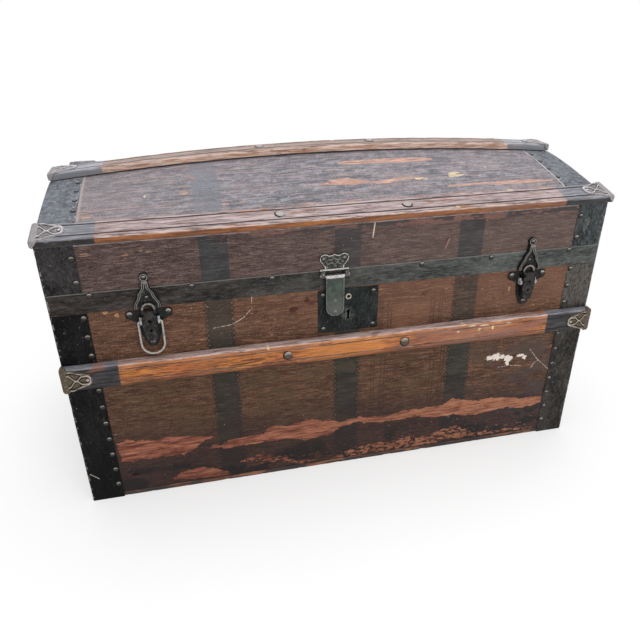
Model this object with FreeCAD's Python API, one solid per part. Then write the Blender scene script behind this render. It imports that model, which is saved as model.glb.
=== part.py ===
import FreeCAD, Part
import math
import os

from FreeCAD import Placement, Rotation, Vector

# Dome top trunk. Millimetres, X along the length, Y from front (-) to back (+), Z up.
# The origin is the middle of the underside, on the floor.

# ---------------------------------------------------------------- driving dimensions

LENGTH = 864.0  # over the end boards
DEPTH = 432.0  # over the front and back boards
PARTING_Z = 346.0  # where the lid meets the body
LID_GAP = 0.5  # daylight between the lid's walls and the body's walls
LID_EDGE_Z = 453.0  # the dome's height along its front and back edges
RIDGE_Z = 490.0  # the dome's height over the end boards, along the ridge
CROWN = 21.5  # how much higher the ridge is at mid-length than at its ends
FLANK_POWER = 1.5  # shape of the dome from edge to ridge: 1 is a flat slope, 2 a parabola
CROWN_FADE = 0.83  # the crown has died away at this share of the half depth
CROWN_SOFTNESS = 1.25  # above 1, it dies away without a crease

BOARD = 10.0  # wall boards
BOTTOM = 9.0  # bottom board
PANEL = 6.0  # dome panels
SHEET = 1.0  # sheet iron bindings and band
BINDING = 50.0  # width of a binding on each face
BAND = 32.0  # height of the lid band
RIVET = (3.2, 1.7)  # radius and height of a small rivet head
RIVET_INSET = 5.5  # rivet line from a binding's inner edge

BODY_SLAT = (38.0, 14.0)  # width and thickness of the slats on the body
BODY_SLAT_Z = 245.0
LID_SLAT = (44.0, 10.5)  # width and thickness of the slats on the lid
SLAT_OVERHANG = 3.0  # slats pass the end boards by this much
SLAT_NOSE = 8.5  # front and back lid slats stand out past the walls by this much
SLAT_LIFT = 0.5  # bedding gap under the ridge slat
EDGE_SLAT_LIFT = 0.9  # bedding gap under the lid's front and back slats
GROOVE = (1.6, 1.2)  # width and depth of the two grooves in a slat
GROOVE_INSET = 9.0
SLAT_RIVET = (6.0, 2.8)
SLAT_RIVET_X = 96.5

CLAMP_LENGTH = 46.0  # slat clamps, measured along the slat
CLAMP_WALL = 1.8
CLAMP_CUFF = 7.0  # the part of a clamp that wraps round the slat

HINGE_X = 250.0
HINGE_WIDTH = 60.0
HINGE_OFFSET = 4.5  # hinge axis behind the back board
KNUCKLE = 3.0
HINGE_PIN = 1.5
RUNNING_FIT = 0.05  # radial clearance of a pin in its hole
PLAY = 0.4  # end play between pieces that turn past each other

LOCK_X = 4.0
LOCK_PLATE = (97.0, 73.5, 1.2)  # width, height, thickness
LOCK_PLATE_Z = 307.5
EYELET_Z = 331.0
KEYHOLE_Z = 304.5

HASP_X = -19.0
HASP_AXIS_Z = 371.0
HASP_AXIS_OUT = 5.8  # hasp pivot in front of the front board
HASP_TONGUE = (14.2, 68.0, 2.0)  # half width, length below the pivot, thickness

LATCH_X = {"left": -297.0, "right": 307.5}
LATCH_LEVER_Z = 341.5
LATCH_LEVER_OUT = 9.5
LATCH_LOOP_Z = 326.0
LATCH_LOOP_OUT = 6.5
LATCH_WIRE = 1.7  # wire radius of the loop
LATCH_LOOP = (16.8, 53.4)  # half width and length, to the wire's centre line

STAY_REACH = 150.0  # hinge axis to either stay pivot
STAY_ANGLE = 20.0  # each pivot above or below the parting line, seen from the hinge
STAY_OPEN = 100.0  # lid angle when the slot ends
STAY_PIN = 3.0
STAY_STRIP = (7.0, 2.0)  # half width and thickness of the arm
STAY_X = 418.4  # middle plane of the arm

HANDLE_Z = 205.0
HANDLE_SPAN = 88.0  # half distance between the mouths of the two caps
HANDLE_RISE = 25.0  # outer face of the strap from the end board
STRAP = (28.0, 5.0)  # width and thickness of the leather
HANDLE_CAP = (34.0, 40.0, 7.5)  # length, height, thickness

# ---------------------------------------------------------------- worked out from them

END = LENGTH / 2
SIDE = DEPTH / 2
CROWN_RADIUS = (END**2 + CROWN**2) / (2 * CROWN)
CROWN_CENTRE_Z = RIDGE_Z + CROWN - CROWN_RADIUS
LID_Z = PARTING_Z + LID_GAP
BAND_TOP = LID_Z + BAND - LID_GAP
SLAT_HALF = END + SLAT_OVERHANG
SIDES = {"front": 0, "right": 90, "back": 180, "left": -90}
X_AXIS = Vector(1, 0, 0)
Y_AXIS = Vector(0, 1, 0)
Z_AXIS = Vector(0, 0, 1)
ORIGIN = Vector(0, 0, 0)

nodes = {}


def keep(name, *solids):
    """Store the solids of one named node."""
    nodes.setdefault(name, []).extend(solids)


# ---------------------------------------------------------------- drawing helpers


def box(x, y, z):
    """A block from three (low, high) pairs."""
    return Part.makeBox(x[1] - x[0], y[1] - y[0], z[1] - z[0], Vector(x[0], y[0], z[0]))


def cylinder(radius, start, end):
    """A round bar between two points."""
    return Part.makeCylinder(radius, (end - start).Length, start, end - start)


def outline(corners):
    """A closed wire in the XY plane. A corner is (x, y) or, rounded, (x, y, radius)."""
    spots = []
    count = len(corners)
    for i, corner in enumerate(corners):
        here = Vector(corner[0], corner[1], 0)
        if len(corner) == 2:
            spots.append((here, None, here))
            continue
        back = Vector(*corners[i - 1][:2], 0) - here
        ahead = Vector(*corners[(i + 1) % count][:2], 0) - here
        half = back.getAngle(ahead) / 2
        back.normalize()
        ahead.normalize()
        towards_centre = (back + ahead).normalize()
        centre = here + towards_centre * (corner[2] / math.sin(half))
        middle = centre - towards_centre * corner[2]
        trim = corner[2] / math.tan(half)
        spots.append((here + back * trim, middle, here + ahead * trim))
    edges = []
    for i, (start, middle, end) in enumerate(spots):
        if middle is not None:
            edges.append(Part.Arc(start, middle, end).toShape())
        following = spots[(i + 1) % count][0]
        if following.distanceToPoint(end) > 1e-6:
            edges.append(Part.makeLine(end, following))
    return Part.Wire(edges)


def plate(corners, thickness, base=0.0):
    """A flat piece drawn in XY, from base up to base + thickness."""
    solid = Part.Face(outline(corners)).extrude(Vector(0, 0, thickness))
    solid.translate(Vector(0, 0, base))
    return solid


def along_x(shape, start, y=0.0, z=0.0):
    """Turn a piece drawn in XY so that its drawing lies in the YZ plane at x = start."""
    shape.Placement = Placement(Vector(start, y, z), Rotation(Vector(1, 1, 1), 120))
    return shape


def mirrored(corners):
    """The right half of an outline, bottom to top, completed with its left half."""
    left = [(-corner[0],) + tuple(corner[1:]) for corner in reversed(corners)]
    return corners + left


def stand(side, shape, across=0.0, z=0.0, out=0.0):
    """Stand a piece drawn in XY against one side of the trunk, its thickness outwards."""
    shape = shape.copy()
    reach = END if side in ("left", "right") else SIDE
    shape.rotate(ORIGIN, X_AXIS, 90)
    shape.translate(Vector(across, -reach - out, z))
    shape.rotate(ORIGIN, Z_AXIS, SIDES[side])
    return shape


def flip_x(shape):
    """The same piece at the other end of the trunk."""
    return shape.mirror(ORIGIN, X_AXIS)


def flip_y(shape):
    """The same piece on the other long side of the trunk."""
    return shape.mirror(ORIGIN, Y_AXIS)


def rivet_head(radius, height):
    """A low round head standing on the XY plane."""
    ball = (radius**2 + height**2) / (2 * height)
    latitude = math.degrees(math.asin((ball - height) / ball))
    return Part.makeSphere(ball, Vector(0, 0, height - ball), Z_AXIS, latitude, 90, 360)


def spaced(start, end, steps):
    """Evenly spaced numbers from start to end, both included."""
    return [start + (end - start) * i / steps for i in range(steps + 1)]


# ---------------------------------------------------------------- the dome's surface


def dome_height(x, y):
    """Height of the dome's outside. The edges are straight and the ridge is an arc."""
    share = abs(y) / SIDE
    flank = RIDGE_Z - (RIDGE_Z - LID_EDGE_Z) * share**FLANK_POWER
    crown = math.sqrt(CROWN_RADIUS**2 - x**2) - math.sqrt(CROWN_RADIUS**2 - END**2)
    fade = max(0.0, 1 - (share / CROWN_FADE) ** FLANK_POWER)
    return flank + crown * fade**CROWN_SOFTNESS


def dome_sheet(x, y, lift, thickness):
    """A piece of the dome over an (x, y) rectangle, from lift up to lift + thickness."""
    grid = [[Vector(a, b, dome_height(a, b) + lift) for b in spaced(*y, 12)] for a in spaced(*x, 8)]
    surface = Part.BSplineSurface()
    surface.interpolate(grid)
    return surface.toShape().extrude(Vector(0, 0, thickness))


def end_profile(half_width, low, drop):
    """A face in the YZ plane under the dome's end curve, down to low(y)."""
    top = Part.BSplineCurve()
    top.interpolate([Vector(0, y, dome_height(END, y) - drop) for y in spaced(-half_width, half_width, 24)])
    foot = Part.BSplineCurve()
    foot.interpolate([Vector(0, y, low(y)) for y in spaced(-half_width, half_width, 24)])
    curves = [top.toShape(), foot.toShape()]
    for y in (-half_width, half_width):
        curves.append(Part.makeLine(Vector(0, y, low(y)), Vector(0, y, dome_height(END, y) - drop)))
    return Part.Face(Part.Wire(Part.__sortEdges__(curves)))


# ---------------------------------------------------------------- body boards


def body_boards():
    """Bottom board under four wall boards. The front board is bored for the lock."""
    walls = (BOTTOM, PARTING_Z)
    keep("bottom_board", box((-END, END), (-SIDE, SIDE), (0, BOTTOM)))
    front = box((-END, END), (-SIDE, -SIDE + BOARD), walls)
    front = front.cut(stand("front", lock_holes(1.2, BOARD), LOCK_X, 0, -BOARD))
    keep("body_front_board", front)
    keep("body_back_board", box((-END, END), (SIDE - BOARD, SIDE), walls))
    right = box((END - BOARD, END), (-SIDE + BOARD, SIDE - BOARD), walls)
    keep("body_right_end_board", right)
    keep("body_left_end_board", flip_x(right))


def lock_holes(ease, depth):
    """The hasp peg's hole and the keyhole, drawn for the front, each wider by ease."""
    peg = Part.makeCylinder(2.6 + ease, depth, Vector(0, EYELET_Z, 0))
    bow = Part.makeCylinder(2.8 + ease, depth, Vector(0, KEYHOLE_Z, 0))
    slot = box((-1.5 - ease, 1.5 + ease), (KEYHOLE_Z - 13.5 - ease, KEYHOLE_Z), (0, depth))
    return peg.fuse(bow).fuse(slot)


# ---------------------------------------------------------------- lid boards and dome


def lid_boards():
    """Front, back and end walls of the lid, cut to the underside of the dome panels."""
    inner_top = dome_height(0, SIDE - BOARD) - PANEL - 0.2
    outer_top = LID_EDGE_Z - PANEL - 0.2
    inside = -SIDE + BOARD
    corners = [(-SIDE, LID_Z), (inside, LID_Z), (inside, inner_top), (-SIDE, outer_top)]
    front = along_x(plate(corners, LENGTH), -END)
    keep("lid_front_board", front)
    keep("lid_back_board", flip_y(front))
    right = end_profile(SIDE - BOARD, lambda y: LID_Z, PANEL + 0.2).extrude(Vector(BOARD, 0, 0))
    right.translate(Vector(END - BOARD, 0, 0))
    keep("lid_right_end_board", right)
    keep("lid_left_end_board", flip_x(right))


def dome_panels():
    """Two bent panels that meet under the ridge slat."""
    front = dome_sheet((-END, END), (-SIDE, 0), -PANEL, PANEL)
    keep("lid_front_top_panel", front)
    keep("lid_back_top_panel", flip_y(front))


# ---------------------------------------------------------------- slats and clamps


def slat_section(width, thickness):
    """Cross-section of a slat: rounded outer edges and two grooves."""
    half = width / 2
    groove = half - GROOVE_INSET
    lip = GROOVE[0] / 2
    right = [
        (half, 0),
        (half, thickness, 4),
        (groove + lip, thickness),
        (groove, thickness - GROOVE[1]),
        (groove - lip, thickness),
    ]
    return mirrored(right)


def straight_slat(width, thickness):
    """A slat along X, its underside on the XY plane."""
    return along_x(plate(slat_section(width, thickness), 2 * SLAT_HALF), -SLAT_HALF)


def slat_clamp(width, thickness):
    """The clamp on the +X end of a slat: a cuff round the end and a tapered face plate."""
    half = width / 2
    tip = SLAT_HALF + CLAMP_WALL
    top = thickness + CLAMP_WALL
    foot = SHEET + 0.2
    cuff = box((SLAT_HALF - CLAMP_CUFF, tip), (-half - CLAMP_WALL, half + CLAMP_WALL), (foot, top))
    cuff = cuff.cut(box((0, SLAT_HALF), (-half, half), (-1, thickness)))
    nose = tip - CLAMP_LENGTH
    right_half = [
        (tip, half + 0.5),
        (tip - 12, half - 1.5, 3),
        (tip - 32, 10.0, 6),
        (nose, 9.0, 8.9),
    ]
    face = right_half + [(x, -y, *rest) for x, y, *rest in reversed(right_half)]
    return cuff.fuse(plate(face, CLAMP_WALL, thickness)).removeSplitter()


def slat_frames():
    """Where each straight slat lies: its underside's middle and the way it faces."""
    tilt = math.atan2(dome_height(0, CROWN_FADE * SIDE) - LID_EDGE_Z, SIDE - CROWN_FADE * SIDE)
    inward = LID_SLAT[0] / 2 - SLAT_NOSE
    y = SIDE - inward * math.cos(tilt) + EDGE_SLAT_LIFT * math.sin(tilt)
    z = LID_EDGE_Z + inward * math.sin(tilt) + EDGE_SLAT_LIFT * math.cos(tilt)
    tilt = math.degrees(tilt)
    return {
        "body_front": (BODY_SLAT, Placement(Vector(0, -SIDE, BODY_SLAT_Z), Rotation(X_AXIS, 90))),
        "body_back": (BODY_SLAT, Placement(Vector(0, SIDE, BODY_SLAT_Z), Rotation(X_AXIS, -90))),
        "lid_front": (LID_SLAT, Placement(Vector(0, -y, z), Rotation(X_AXIS, tilt))),
        "lid_back": (LID_SLAT, Placement(Vector(0, y, z), Rotation(X_AXIS, -tilt))),
    }


def on_ridge(shape, x):
    """Carry a piece from the XY plane at the origin to the ridge's arc at length x."""
    shape = shape.copy()
    shape.translate(Vector(0, 0, CROWN_RADIUS + SLAT_LIFT))
    shape.rotate(ORIGIN, Y_AXIS, math.degrees(math.asin(x / CROWN_RADIUS)))
    shape.translate(Vector(0, 0, CROWN_CENTRE_Z))
    return shape


def slats_and_clamps():
    """Four straight slats, the bent ridge slat, and their clamps and button rivets."""
    for name, (size, frame) in slat_frames().items():
        group = name.split("_")[0]
        slat = straight_slat(*size)
        if group == "body":
            for x in (-END - BINDING, END - BINDING - 0.2):
                rebate = box((x, x + 2 * BINDING + 0.2), (-size[0], size[0]), (-1, SHEET))
                slat = slat.cut(rebate)
        slat.Placement = frame * slat.Placement
        keep(f"{name}_slat", slat)
        for clamp in (slat_clamp(*size), flip_x(slat_clamp(*size))):
            clamp.Placement = frame
            keep(f"{group}_slat_clamps", clamp)
        for x in (-SLAT_RIVET_X, SLAT_RIVET_X):
            button = rivet_head(*SLAT_RIVET)
            button.Placement = frame * Placement(Vector(x, 0, size[1]), Rotation())
            keep(f"{group}_slat_rivets", button)

    face = along_x(Part.Face(outline(slat_section(*LID_SLAT))), 0, 0, RIDGE_Z + CROWN + SLAT_LIFT)
    swing = math.degrees(math.asin(SLAT_HALF / CROWN_RADIUS))
    centre = Vector(0, 0, CROWN_CENTRE_Z)
    face.rotate(centre, Y_AXIS, -swing)
    keep("lid_ridge_slat", face.revolve(centre, Y_AXIS, 2 * swing))
    clamp = slat_clamp(*LID_SLAT)
    clamp.translate(Vector(-SLAT_HALF, 0, 0))
    clamp = on_ridge(clamp, SLAT_HALF)
    keep("lid_slat_clamps", clamp, flip_x(clamp))
    for x in (-SLAT_RIVET_X, SLAT_RIVET_X):
        button = rivet_head(*SLAT_RIVET)
        button.translate(Vector(0, 0, LID_SLAT[1]))
        keep("lid_slat_rivets", on_ridge(button, x))


# ---------------------------------------------------------------- sheet iron bindings


def corner_bindings():
    """Angles of sheet iron over the upright corners of the body and the lid."""
    body = angle_iron(0, PARTING_Z - LID_GAP)
    low = BAND_TOP + 0.2
    lid_front_leg = box((END - BINDING, END + SHEET), (-SIDE - SHEET, -SIDE), (low, LID_EDGE_Z - 3))
    rise = dome_height(END, SIDE - BINDING) - 2
    end_leg = [
        (-SIDE, low),
        (-SIDE + BINDING, low),
        (-SIDE + BINDING, rise),
        (-SIDE, LID_EDGE_Z - 3),
    ]
    lid = lid_front_leg.fuse(stand("right", plate(end_leg, SHEET))).removeSplitter()
    for front_name, back_name, piece in (
        ("body_front_bindings", "body_back_bindings", body),
        ("lid_front_bindings", "lid_back_bindings", lid),
    ):
        keep(front_name, piece, flip_x(piece))
        keep(back_name, flip_y(piece), flip_x(flip_y(piece)))


def angle_iron(low, high):
    """An angle on the front right corner."""
    outer = box((END - BINDING, END + SHEET), (-SIDE - SHEET, -SIDE + BINDING), (low, high))
    return outer.cut(box((0, END), (-SIDE, SIDE), (low - 1, high + 1)))


def lid_band():
    """One hoop of sheet iron round the lid's lower edge."""
    outer = box((-END - SHEET, END + SHEET), (-SIDE - SHEET, SIDE + SHEET), (LID_Z, BAND_TOP))
    keep("lid_band", outer.cut(box((-END, END), (-SIDE, SIDE), (LID_Z - 1, BAND_TOP + 1))))


def dome_bindings():
    """Iron over the dome's ends: two strips on top and a folded edge down the end board."""
    inner = LID_SLAT[0] / 2 + CLAMP_WALL + 1
    outer = SIDE - (LID_SLAT[0] - SLAT_NOSE) - 2
    strip = dome_sheet((END - BINDING, END + SHEET), (-outer, -inner), 0.1, SHEET)
    reach = SIDE - BINDING - 1
    fold = end_profile(reach, lambda y: dome_height(END, y) - 22, 0.1).extrude(Vector(SHEET, 0, 0))
    fold.translate(Vector(END, 0, 0))
    for side, move in (("right", lambda shape: shape), ("left", flip_x)):
        keep(f"lid_{side}_dome_binding", move(strip), move(flip_y(strip)), move(fold))


# ---------------------------------------------------------------- rivets


def binding_rivets():
    """Rivet lines along the inner edges of every binding, and along the lid band."""
    head = rivet_head(*RIVET)
    line = BINDING - RIVET_INSET
    slat_clear = BODY_SLAT[0] / 2 + 8
    for i in range(11):
        z = 29 + 31 * i
        for side, reach in (("front", END), ("back", END), ("left", SIDE), ("right", SIDE)):
            if side in ("front", "back") and abs(z - BODY_SLAT_Z) < slat_clear:
                continue
            for x in (-reach + line, reach - line):
                keep("body_rivets", stand(side, head, x, z, SHEET))
    for z in (BAND_TOP + 16, BAND_TOP + 52):
        for side, reach in (("front", END), ("back", END), ("left", SIDE), ("right", SIDE)):
            for x in (-reach + line, reach - line):
                keep("lid_rivets", stand(side, head, x, z, SHEET))
    for x in (-374, -232, -114, 122, 240, 378):
        keep("lid_rivets", stand("front", head, x, BAND_TOP - 5, SHEET))
    for x in (-374, -190, -100, 0, 100, 190, 374):
        keep("lid_rivets", stand("back", head, x, BAND_TOP - 5, SHEET))
    for side in ("left", "right"):
        for y in (-150, -50, 50, 150):
            keep("lid_rivets", stand(side, head, y, BAND_TOP - 5, SHEET))
    for x in (-END + line, END - line):
        for y in spaced(-168, -48, 4) + spaced(48, 168, 4):
            slope = math.atan2(dome_height(x, y + 1) - dome_height(x, y - 1), 2)
            keep("lid_rivets", dome_rivet(head, x, y, math.degrees(slope)))


def dome_rivet(head, x, y, slope):
    """A rivet head square to the dome, on the dome binding."""
    turned = head.copy()
    turned.rotate(ORIGIN, X_AXIS, slope)
    turned.translate(Vector(x, y, dome_height(x, y) + SHEET + 0.5))
    return turned


# ---------------------------------------------------------------- back hinges


def hinges():
    """Two butt hinges across the parting line, with their pins."""
    axis_y = SIDE + HINGE_OFFSET
    third = HINGE_WIDTH / 4
    half = HINGE_WIDTH / 2
    for centre in (-HINGE_X, HINGE_X):
        outer = [(centre - half, centre - third - PLAY / 2), (centre + third + PLAY / 2, centre + half)]
        body = box((centre - half, centre + half), (SIDE, SIDE + 1.5), (PARTING_Z - 30, PARTING_Z - 3.5))
        for x in outer:
            body = body.fuse(box(x, (SIDE, axis_y), (PARTING_Z - 4.5, PARTING_Z - 1)))
            body = body.fuse(knuckle(x))
        body = body.cut(knuckle((centre - half - 1, centre + half + 1), HINGE_PIN + 0.02))
        keep("hinge_body_leaves", body.removeSplitter())

        inner = (centre - third + PLAY / 2, centre + third - PLAY / 2)
        face = SIDE + SHEET
        lid = box((centre - half, centre + half), (face, face + 1.5), (PARTING_Z + 3.5, PARTING_Z + 31))
        lid = lid.fuse(box(inner, (face, axis_y), (PARTING_Z + 1, PARTING_Z + 4.5)))
        lid = lid.fuse(knuckle(inner))
        lid = lid.cut(knuckle((centre - half - 1, centre + half + 1), HINGE_PIN + RUNNING_FIT))
        keep("hinge_lid_leaves", lid.removeSplitter())

        pin = knuckle((centre - half, centre + half), HINGE_PIN)
        for x in ((centre - half - 1.2, centre - half), (centre + half, centre + half + 1.2)):
            pin = pin.fuse(knuckle(x, HINGE_PIN + 0.8))
        keep("hinge_pins", pin.removeSplitter())


def knuckle(x, radius=KNUCKLE):
    """A round piece on the lid's hinge axis over an (x0, x1) range."""
    start = Vector(x[0], SIDE + HINGE_OFFSET, PARTING_Z)
    return Part.makeCylinder(radius, x[1] - x[0], start, X_AXIS)


# ---------------------------------------------------------------- lock


def lock():
    """Lock plate with its eyelet and rivets outside, case and sliding bolt inside."""
    width, height, thickness = LOCK_PLATE
    half = width / 2
    low = LOCK_PLATE_Z - height / 2
    high = LOCK_PLATE_Z + height / 2
    body = plate(mirrored([(half, low, 1.5), (half, high, 1.5)]), thickness)
    keep("lock_plate", stand("front", body.cut(lock_holes(0, thickness)), LOCK_X))
    for x in (-half + 8, half - 8):
        for z in (low + 7, high - 8):
            keep("lock_rivets", stand("front", rivet_head(*RIVET), LOCK_X + x, z, thickness))
    ring = Part.makeCylinder(5.0, 1.2, Vector(0, EYELET_Z, 0))
    ring = ring.cut(Part.makeCylinder(2.6, 1.2, Vector(0, EYELET_Z, 0)))
    keep("lock_eyelet", stand("front", ring, LOCK_X, 0, thickness))

    inside = -SIDE + BOARD
    wall = 1.5
    left, right = LOCK_X - 40, LOCK_X + 40
    case = box((left, right), (inside, inside + 16), (276, 342))
    hollow = box((left + wall, right - wall), (inside - 1, inside + 16 - wall), (276 + wall, 342 - wall))
    case = case.cut(hollow)
    for z in (EYELET_Z - 7, EYELET_Z + 5.4):
        case = case.fuse(box((left, right), (inside, inside + 16), (z, z + 1.6)))
    keep("lock_case", case.removeSplitter())
    rest = LOCK_X - 30
    keep("lock_bolt", box((rest, rest + 25), (inside + 0.4, inside + 14), (EYELET_Z - 5, EYELET_Z + 5)))


# ---------------------------------------------------------------- hasp


def hasp():
    """Shaped hinge plate on the lid, its pin, and the tongue with a staple on its back."""
    right = [
        (14.5, 377, 2),
        (15.3, 386, 5),
        (22.8, 394, 5),
        (22.0, 406.5, 6),
        (8.5, 403.5, 6),
    ]
    body = plate(mirrored(right), 2.4)
    body = body.fuse(box((-21.5, 21.5), (376.5, 380), (SHEET, 4.4)))
    for x in ((-21.5, -15.6), (15.6, 21.5)):
        body = body.fuse(cylinder_x(3.4, x, HASP_AXIS_Z, HASP_AXIS_OUT))
        body = body.fuse(box(x, (HASP_AXIS_Z, 380), (3.2, 6.6)))
    body = body.cut(box((-30, 30), (340, BAND_TOP + 0.2), (-1, SHEET + 0.1)))
    body = body.cut(cylinder_x(1.6, (-30, 30), HASP_AXIS_Z, HASP_AXIS_OUT))
    keep("hasp_plate", stand("front", body.removeSplitter(), HASP_X))

    pin = cylinder_x(1.6, (-21.5, 21.5), HASP_AXIS_Z, HASP_AXIS_OUT)
    for x in ((-22.7, -21.5), (21.5, 22.7)):
        pin = pin.fuse(cylinder_x(2.6, x, HASP_AXIS_Z, HASP_AXIS_OUT))
    keep("hasp_pin", stand("front", pin.removeSplitter(), HASP_X))

    half, length, thickness = HASP_TONGUE
    front = HASP_AXIS_OUT + 3.2
    low = HASP_AXIS_Z - length
    blade = plate(mirrored([(half, low, half - 0.1), (half, HASP_AXIS_Z)]), thickness, front - thickness)
    roll = cylinder_x(3.2, (-half - 1, half + 1), HASP_AXIS_Z, HASP_AXIS_OUT)
    blade = blade.fuse(roll)
    blade = blade.cut(cylinder_x(1.6 + RUNNING_FIT, (-30, 30), HASP_AXIS_Z, HASP_AXIS_OUT))
    keep("hasp_tongue", stand("front", blade.removeSplitter(), HASP_X))

    back = front - thickness
    legs = (low + 8, low + 26)
    path = [(legs[0], back), (legs[0], 4.0, 2.5), (legs[1], 4.0, 2.5), (legs[1], back)]
    staple = wire_bar(path, 1.9, lambda a, b: Vector(0, a, b))
    keep("hasp_staple", stand("front", staple, HASP_X))
    for z in legs:
        keep("hasp_staple", stand("front", rivet_head(2.6, 1.0), HASP_X, z, front))


def cylinder_x(radius, x, z, out):
    """A round bar along X, in a piece drawn for the front: z up, out from the board."""
    return Part.makeCylinder(radius, x[1] - x[0], Vector(x[0], z, out), X_AXIS)


def wire_bar(corners, radius, lay):
    """A round bar along an open path of corners, (a, b) or (a, b, bend radius)."""
    points = [lay(*corner[:2]) for corner in corners]
    edges = []
    here = points[0]
    for i in range(1, len(points) - 1):
        back = (points[i - 1] - points[i]).normalize()
        ahead = (points[i + 1] - points[i]).normalize()
        half = back.getAngle(ahead) / 2
        bend = corners[i][2]
        trim = bend / math.tan(half)
        inward = (back + ahead).normalize()
        middle = points[i] + inward * (bend / math.sin(half) - bend)
        if here.distanceToPoint(points[i] + back * trim) > 1e-6:
            edges.append(Part.makeLine(here, points[i] + back * trim))
        edges.append(Part.Arc(points[i] + back * trim, middle, points[i] + ahead * trim).toShape())
        here = points[i] + ahead * trim
    edges.append(Part.makeLine(here, points[-1]))
    path = Part.Wire(edges)
    start = points[0]
    ring = Part.Wire(Part.Circle(start, points[1] - start, radius).toShape())
    return path.makePipeShell([ring], True, False)


# ---------------------------------------------------------------- draw latches


def latch(side):
    """One latch: the catch on the lid, the base on the body, the lever and the wire loop."""
    x = LATCH_X[side]
    keep(f"{side}_latch_catch", stand("front", latch_catch(), x))
    keep(f"{side}_latch_base", stand("front", latch_base(), x))
    keep(f"{side}_latch_lever", stand("front", latch_lever(), x))
    for dx, z, out in ((-27.5, 337.5, 1.6), (27.5, 337.5, 1.6), (0, 289, 1.6)):
        keep("latch_base_rivets", stand("front", rivet_head(4.2, 2.4), x + dx, z, out))
    keep("latch_catch_rivets", stand("front", rivet_head(3.0, 1.8), x, 395, 4.6))
    keep("latch_catch_rivets", stand("front", rivet_head(2.6, 1.4), x, 363, 2.8))


def latch_catch():
    """Teardrop casting with raised flanks, a riveted eye and a ledge below it."""
    flank = [(19.5, 347.5, 1.0), (19.5, 353, 6), (5.0, 382, 8), (5.0, 389)]
    inner = [(16.0, 340), (16.0, 353, 5), (2.6, 379, 2)]
    body = plate(mirrored(flank), 6.4)
    body = body.cut(plate(mirrored(inner), 6.4, 2.8))
    body = body.cut(box((-30, 30), (384, 400), (4.6, 9)))
    body = body.fuse(Part.makeCylinder(6.2, 4.6, Vector(0, 395, 0)))
    body = body.fuse(box((-5, 5), (386.5, 389.5), (0, 7.5)))
    return body.cut(box((-30, 30), (340, BAND_TOP + 0.2), (-1, SHEET + 0.2))).removeSplitter()


def latch_base():
    """Eared plate with the arch that guides the lid, the lever's lugs and the loop's lugs."""
    kite = [
        (6.5, 283, 6),
        (15.0, 306, 10),
        (17.0, 324, 4),
        (33.5, 331.5, 5),
        (33.5, 343.8, 5.5),
    ]
    body = plate(mirrored(kite), 1.6)
    body = body.fuse(box((-10.5, 10.5), (336, 343.8), (1.6, 6.4)))
    arch = plate(mirrored([(10.5, 340), (10.5, 356, 10.4)]), 2.5, 3.9)
    body = body.fuse(arch.cut(plate(mirrored([(6.2, 345), (6.2, 352, 6.1)]), 4, 3)))
    for x in ((-10.5, -7.4), (7.4, 10.5)):
        body = body.fuse(cylinder_x(2.6, x, LATCH_LEVER_Z, LATCH_LEVER_OUT))
        body = body.fuse(box(x, (LATCH_LEVER_Z - 2.6, LATCH_LEVER_Z + 2.3), (5, LATCH_LEVER_OUT)))
    body = body.fuse(cylinder_x(1.2, (-9, 9), LATCH_LEVER_Z, LATCH_LEVER_OUT))
    for x in ((-14.4, -11.3), (11.3, 14.4)):
        lug = box(x, (LATCH_LOOP_Z - 4, LATCH_LOOP_Z + 8), (1.0, LATCH_LOOP_OUT))
        lug = lug.fuse(cylinder_x(4, x, LATCH_LOOP_Z, LATCH_LOOP_OUT))
        hole = cylinder_x(LATCH_WIRE + RUNNING_FIT, x, LATCH_LOOP_Z, LATCH_LOOP_OUT)
        body = body.fuse(lug).cut(hole)
    return body.removeSplitter()


def latch_lever():
    """A channel with pierced crosses, hung from a knuckle at its top."""
    face = mirrored([(6.8, 296, 5), (10.2, 318, 20), (10.2, LATCH_LEVER_Z - 4.5, 1)])
    lever = plate(face, 1.8, LATCH_LEVER_OUT + 0.6)
    tail = [(5.5, 299, 3), (8.7, 319, 20), (8.7, 340)]
    walls = plate(mirrored([(6.8, 296, 5), (10.2, 318, 20), (10.2, 333)]), 7.2, 3.4)
    lever = lever.fuse(walls.cut(plate(mirrored(tail), 7.2, 3.2)))
    front = (LATCH_LEVER_OUT + 0.6, LATCH_LEVER_OUT + 2.4)
    lever = lever.fuse(cylinder_x(2.5, (-7.0, 7.0), LATCH_LEVER_Z, LATCH_LEVER_OUT))
    lever = lever.fuse(box((-7.0, 7.0), (LATCH_LEVER_Z - 5.5, LATCH_LEVER_Z), front))
    through = (LATCH_LEVER_OUT, LATCH_LEVER_OUT + 3)
    for z, reach in ((328, 3.4), (313, 2.8)):
        for across, up in ((reach, 0.9), (0.9, reach)):
            lever = lever.cut(box((-across, across), (z - up, z + up), through))
    bore = cylinder_x(1.2 + RUNNING_FIT, (-12, 12), LATCH_LEVER_Z, LATCH_LEVER_OUT)
    return lever.cut(bore).removeSplitter()


def latch_loop():
    """The wire loop: a U whose ends turn in through the base's lugs."""
    half, length = LATCH_LOOP
    low = LATCH_LOOP_Z - length
    inner = 11.0
    path = [
        (-inner, LATCH_LOOP_Z),
        (-half, LATCH_LOOP_Z, 2.6),
        (-half, low, half - 0.05),
        (half, low, half - 0.05),
        (half, LATCH_LOOP_Z, 2.6),
        (inner, LATCH_LOOP_Z),
    ]
    loop = wire_bar(path, LATCH_WIRE, lambda a, b: Vector(a, b, LATCH_LOOP_OUT))
    keep("left_latch_loop", stand("front", loop, LATCH_X["left"]))


# ---------------------------------------------------------------- lid stays


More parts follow.
